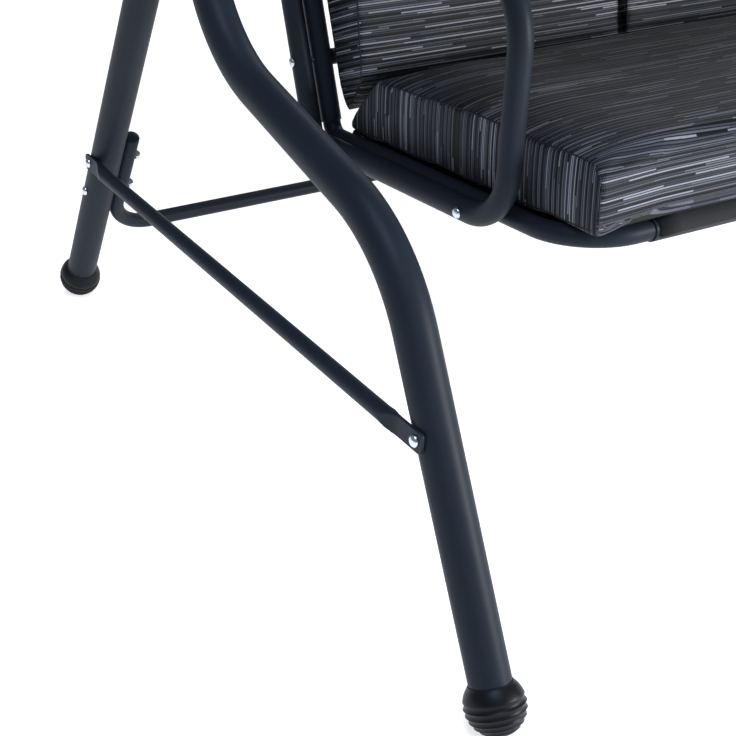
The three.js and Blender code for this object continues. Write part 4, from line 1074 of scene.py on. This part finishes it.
# ---- canopy
canopy = {"tube": 0.011, "sleeve": 0.0128, "halfDepth": 0.57, "edge": 1.585, "forward": 0.06,
          "rise": 0.17, "archBend": 1.5, "bend": 0.04, "inset": 0.095, "plate": 0.006, "cloth": 0.003,
          "clearance": 0.002, "valance": 0.125, "web": 0.08, "foot": 0.015, "boss": 0.013,
          "sag": 0.012, "flutter": 0.003, "rows": 6}
tiltPivot = pivots["canopy_tilt"]
canopyX = postX + stand["tube"] + stand["gap"] + canopy["tube"]
canopyY = tiltPivot.y - canopy["forward"]
apex = Vector((0, canopyY, canopy["edge"] + canopy["rise"]))
archSlope = math.atan(canopy["rise"] / canopy["halfDepth"])
archHeight = apex.z - canopy["archBend"] * (1 / math.cos(archSlope) - 1)


def canopyCorner(sign):
    return Vector((0, canopyY + sign * canopy["halfDepth"], canopy["edge"]))


def addCanopyArm(side, sign):
    x = sign * canopyX
    inner = x - sign * canopy["inset"]
    corners = [atX(canopyCorner(-1), inner), atX(canopyCorner(-1), x), atX(apex, x), atX(canopyCorner(1), x),
               atX(canopyCorner(1), inner)]
    bends = [canopy["bend"], canopy["archBend"], canopy["bend"]]
    top = archHeight - canopy["tube"] / 2
    foot, web = canopy["foot"], canopy["web"]
    outline = [(-web, top), (-foot, 0)]
    outline += [(foot * math.cos(a), foot * math.sin(a)) for a in
                [math.radians(180 + 180 * k / 12) for k in range(1, 12)]]
    outline += [(foot, 0), (web, top)]
    points = [(tiltPivot.y + y, tiltPivot.z + z if z < 0.5 else z) for y, z in outline]

    def web(bm):
        addPlate(bm, points, x - canopy["plate"] / 2, canopy["plate"])
        boss = atX(tiltPivot, x)
        sweepTube(bm, straight(boss - Vector((sign * canopy["tube"], 0, 0)), boss), canopy["boss"], sectors=36)

    tubePiece("canopy_arm_" + side, bentRoute(corners, bends, 3), canopy["tube"], extra=web)


def addCanopyRails():
    reach = canopyX - canopy["bend"] - 0.008
    for node, sign in (("canopy_front_rail", -1), ("canopy_rear_rail", 1)):
        centre = canopyCorner(sign)
        tubePiece(node, straight(atX(centre, -reach), atX(centre, reach)), canopy["sleeve"], ("open", "open"))


def canopyStations():
    # from the front hem over the arch to the rear hem, with the rows of each valance evenly spaced
    offset = canopy["sleeve"] + canopy["clearance"] + canopy["cloth"] / 2
    end = canopy["halfDepth"] + offset
    eave = canopy["edge"] + offset / math.cos(archSlope) - offset * math.tan(archSlope)
    top = apex.z + offset / math.cos(archSlope)
    hem = canopy["edge"] - canopy["valance"]
    corners = [Vector((0, canopyY - end, hem)), Vector((0, canopyY - end, eave)), Vector((0, canopyY, top)),
               Vector((0, canopyY + end, eave)), Vector((0, canopyY + end, hem))]
    route = bentRoute(corners, [offset, canopy["archBend"] + offset, offset], 1.4)
    return [p for p, _ in route[1:-1]], hem


def addCanopyCover():
    arch, hem = canopyStations()
    low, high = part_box("canopy_cover")
    half = high.x - canopy["cloth"] / 2
    bm = bmesh.new()
    verts = [bm.verts.new(atX(p, -half)) for p in arch]
    edges = [bm.edges.new(pair) for pair in zip(verts, verts[1:])]
    startEdges = edges
    columns = 64
    frontVerts, rearVerts = [verts[0]], [verts[-1]]
    for k in range(columns):
        edges = growRing(bm, edges, Matrix.Translation((2 * half / columns, 0, 0)))
    bm.verts.ensure_lookup_table()
    dropTo = Vector((0, 0, hem))

    def hang(loop):
        # rows of cloth from an edge of the arch straight down to the hem
        for row in range(canopy["rows"]):
            share = (canopy["rows"] - row - 1) / (canopy["rows"] - row)
            loop = growRing(bm, loop, about(dropTo, Matrix.Diagonal((1, 1, share, 1))))

    hang([e for e in bm.edges if e.is_boundary and all(abs(abs(v.co.x) - half) < 1e-6 for v in e.verts)
          and e.verts[0].co.x < 0])
    hang([e for e in bm.edges if e.is_boundary and all(abs(v.co.x - half) < 1e-6 for v in e.verts)
          and all(abs(v.co.z - hem) > 1e-6 for v in e.verts)])
    ends = (arch[0].y, arch[-1].y)
    for y in ends:
        hang([e for e in bm.edges if e.is_boundary and all(abs(v.co.y - y) < 1e-6 for v in e.verts)
              and abs(e.verts[0].co.x - e.verts[1].co.x) > 1e-4
              and all(abs(v.co.z - hem) > 1e-6 for v in e.verts)])
    bmesh.ops.remove_doubles(bm, verts=bm.verts[:], dist=1e-5)
    middle, reach = (ends[0] + ends[1]) / 2, (ends[1] - ends[0]) / 2
    for vert in bm.verts:
        x, y, z = vert.co
        acrossShare, depthShare = x / half, (y - middle) / reach
        vert.co.z -= canopy["sag"] * (1 - acrossShare ** 2) * max(0, 1 - depthShare ** 4)
        hanging = min(1, max(0, (archFloor(arch, y) - z) / canopy["valance"]))
        if abs(depthShare) > 0.999:
            vert.co.y += canopy["flutter"] * hanging * math.sin(x * 17 + math.sin(x * 5)) - 0.002 * hanging
        if abs(acrossShare) > 0.999:
            vert.co.x -= math.copysign(canopy["flutter"] * hanging * (1 + math.sin(y * 19)), x)
    piece = finishPiece("canopy_cover_cloth", bm, finishes["canopy_cloth"], ["canopy_cover"], 50)

    def place(point, normal):
        if abs(normal.x) > 0.7:
            return point.y, point.z
        if abs(normal.y) > 0.9:
            return point.x, point.z
        return point.x, point.y

    clothMap(piece.data, place)
    wall = piece.modifiers.new("thickness", "SOLIDIFY")
    wall.thickness = 0.0016
    wall.offset = 0
    hemPiece = addHem(half, ends, hem)


def archFloor(arch, y):
    for a, b in zip(arch, arch[1:]):
        if a.y <= y <= b.y and b.y > a.y:
            return a.z + (b.z - a.z) * (y - a.y) / (b.y - a.y)
    return arch[0].z


def addHem(half, ends, hem):
    # the turned-up hem is a thicker band round the foot of the valance
    bm = bmesh.new()
    height, thick = 0.014, 0.0034
    spots = []
    for a, b, count in (((-half, ends[0]), (half, ends[0]), 120), ((half, ends[0]), (half, ends[1]), 60),
                        ((half, ends[1]), (-half, ends[1]), 120), ((-half, ends[1]), (-half, ends[0]), 60)):
        for k in range(count):
            share = k / count
            spots.append((a[0] + (b[0] - a[0]) * share, a[1] + (b[1] - a[1]) * share))
    verts = []
    for x, y in spots:
        if abs(abs(x) - half) < 1e-6 and ends[0] < y < ends[1]:
            x -= math.copysign(canopy["flutter"] * (1 + math.sin(y * 19)), x)
        elif abs(x) < half:
            y += canopy["flutter"] * math.sin(x * 17 + math.sin(x * 5)) - 0.002
        verts.append(bm.verts.new((x, y, hem)))
    edges = [bm.edges.new(pair) for pair in zip(verts, verts[1:] + verts[:1])]
    growRing(bm, edges, Matrix.Translation((0, 0, height)))
    piece = finishPiece("canopy_hem", bm, finishes["canopy_cloth"], ["canopy_cover"], 50)
    clothMap(piece.data, lambda point, normal: (point.x + point.y, point.z))
    wall = piece.modifiers.new("thickness", "SOLIDIFY")
    wall.thickness = thick
    wall.offset = 0
    return piece


knob = {"height": 0.016, "hub": 0.012, "wing": 0.006, "wingReach": 0.022, "shank": 0.004, "turn": 45}


def addKnob(side, sign):
    node = "canopy_knob_" + side
    low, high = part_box(node)
    start = sign * (canopyX + canopy["plate"] / 2 + stand["gap"])
    seatPoint = Vector((start, tiltPivot.y, tiltPivot.z))
    facing = Matrix.Rotation(sign * math.pi / 2, 4, "Y")
    studEnd = -(abs(start) - postX) - stand["tube"] - 0.006
    height = knob["height"]
    profile = [(0, studEnd), (knob["shank"] - 0.001, studEnd), (knob["shank"], studEnd + 0.001),
               (knob["shank"], 0), (knob["hub"] - 0.001, 0), (knob["hub"], 0.001),
               (knob["hub"], height - 0.003), (knob["hub"] - 0.001, height - 0.001),
               (knob["hub"] - 0.004, height + 0.001), (0, height + 0.003)]
    bm = bmesh.new()
    addTurned(bm, profile, Matrix.Translation(seatPoint) @ facing)
    for k in range(3):
        angle = math.radians(knob["turn"] + 120 * k)
        wing = Vector((0, math.cos(angle), math.sin(angle)))
        root = seatPoint + Vector((sign * height / 2, 0, 0)) + wing * 0.006
        sweepTube(bm, straight(root, root + wing * (knob["wingReach"] - 0.003)), knob["wing"], ("plain", "cap"), 28)
    finishPiece(node + "_moulding", bm, finishes["black_plastic"], [node])


for side, sign in sides.items():
    addCanopyArm(side, sign)
    addKnob(side, sign)
addCanopyRails()
addCanopyCover()
print("canopy made")


# ---- any CAD node that still shows takes its slot's finish
for name, node in frame["nodes"].items():
    if not node.hide_render:
        print("shown as it is:", name)
        node.data.materials.clear()
        node.data.materials.append(finishes[slotOf[name]])


# ---- floor and light
studio = {"floor": "#f4f4f4", "glow": 0.72, "world": 0.2, "key": 370, "top": 85, "rim": 40}


def addFloor():
    # a white paper sweep, lit a little from behind
    values = {"Roughness": 0.9, "Emission Color": (1, 1, 1, 1), "Emission Strength": studio["glow"]}
    material, tree, shader = startMaterial("paperSweep", **values)
    place = addNode(tree, "ShaderNodeTexCoord").outputs["Object"]
    cloud = addNode(tree, "ShaderNodeTexNoise", {"Vector": place, "Scale": 2.0})
    tone = mixColours(tree, cloud.outputs[0], linear(studio["floor"]), linear("#f8f8f8"))
    tree.links.new(tone, shader.inputs["Base Color"])
    bm = bmesh.new()
    bmesh.ops.create_grid(bm, x_segments=8, y_segments=8, size=14)
    bmesh.ops.translate(bm, vec=(0, 0, -0.0005), verts=bm.verts[:])
    mesh = bpy.data.meshes.new("floor")
    bm.to_mesh(mesh)
    bm.free()
    mesh.materials.append(material)
    floor = bpy.data.objects.new("floor", mesh)
    bpy.context.scene.collection.objects.link(floor)


def addLamp(name, place, target, size, power, colour):
    data = bpy.data.lights.new(name, "AREA")
    data.shape = "RECTANGLE"
    data.size, data.size_y = size
    data.energy = power
    data.color = linear(colour)[:3]
    lamp = bpy.data.objects.new(name, data)
    lamp.location = place
    lamp.rotation_euler = (Vector(target) - Vector(place)).to_track_quat("-Z", "Y").to_euler()
    bpy.context.scene.collection.objects.link(lamp)


def addWorld():
    bpy.context.scene.view_settings.view_transform = "Standard"
    world = bpy.data.worlds.new("studio")
    world.use_nodes = True
    background = world.node_tree.nodes["Background"]
    background.inputs["Color"].default_value = linear("#ffffff")
    background.inputs["Strength"].default_value = studio["world"]
    bpy.context.scene.world = world


addFloor()
addWorld()
addLamp("key", (3.0, -4.4, 1.5), (-0.4, 0, 0.5), (2.4, 1.8), studio["key"], "#ffffff")
addLamp("top", (-1.6, -0.9, 3.6), (-0.9, 0, 0.5), (1.6, 1.6), studio["top"], "#c9dcff")
addLamp("rim", (2.6, 2.8, 3.0), (0, 0, 0.6), (2.0, 2.0), studio["rim"], "#ffffff")
print("studio set")
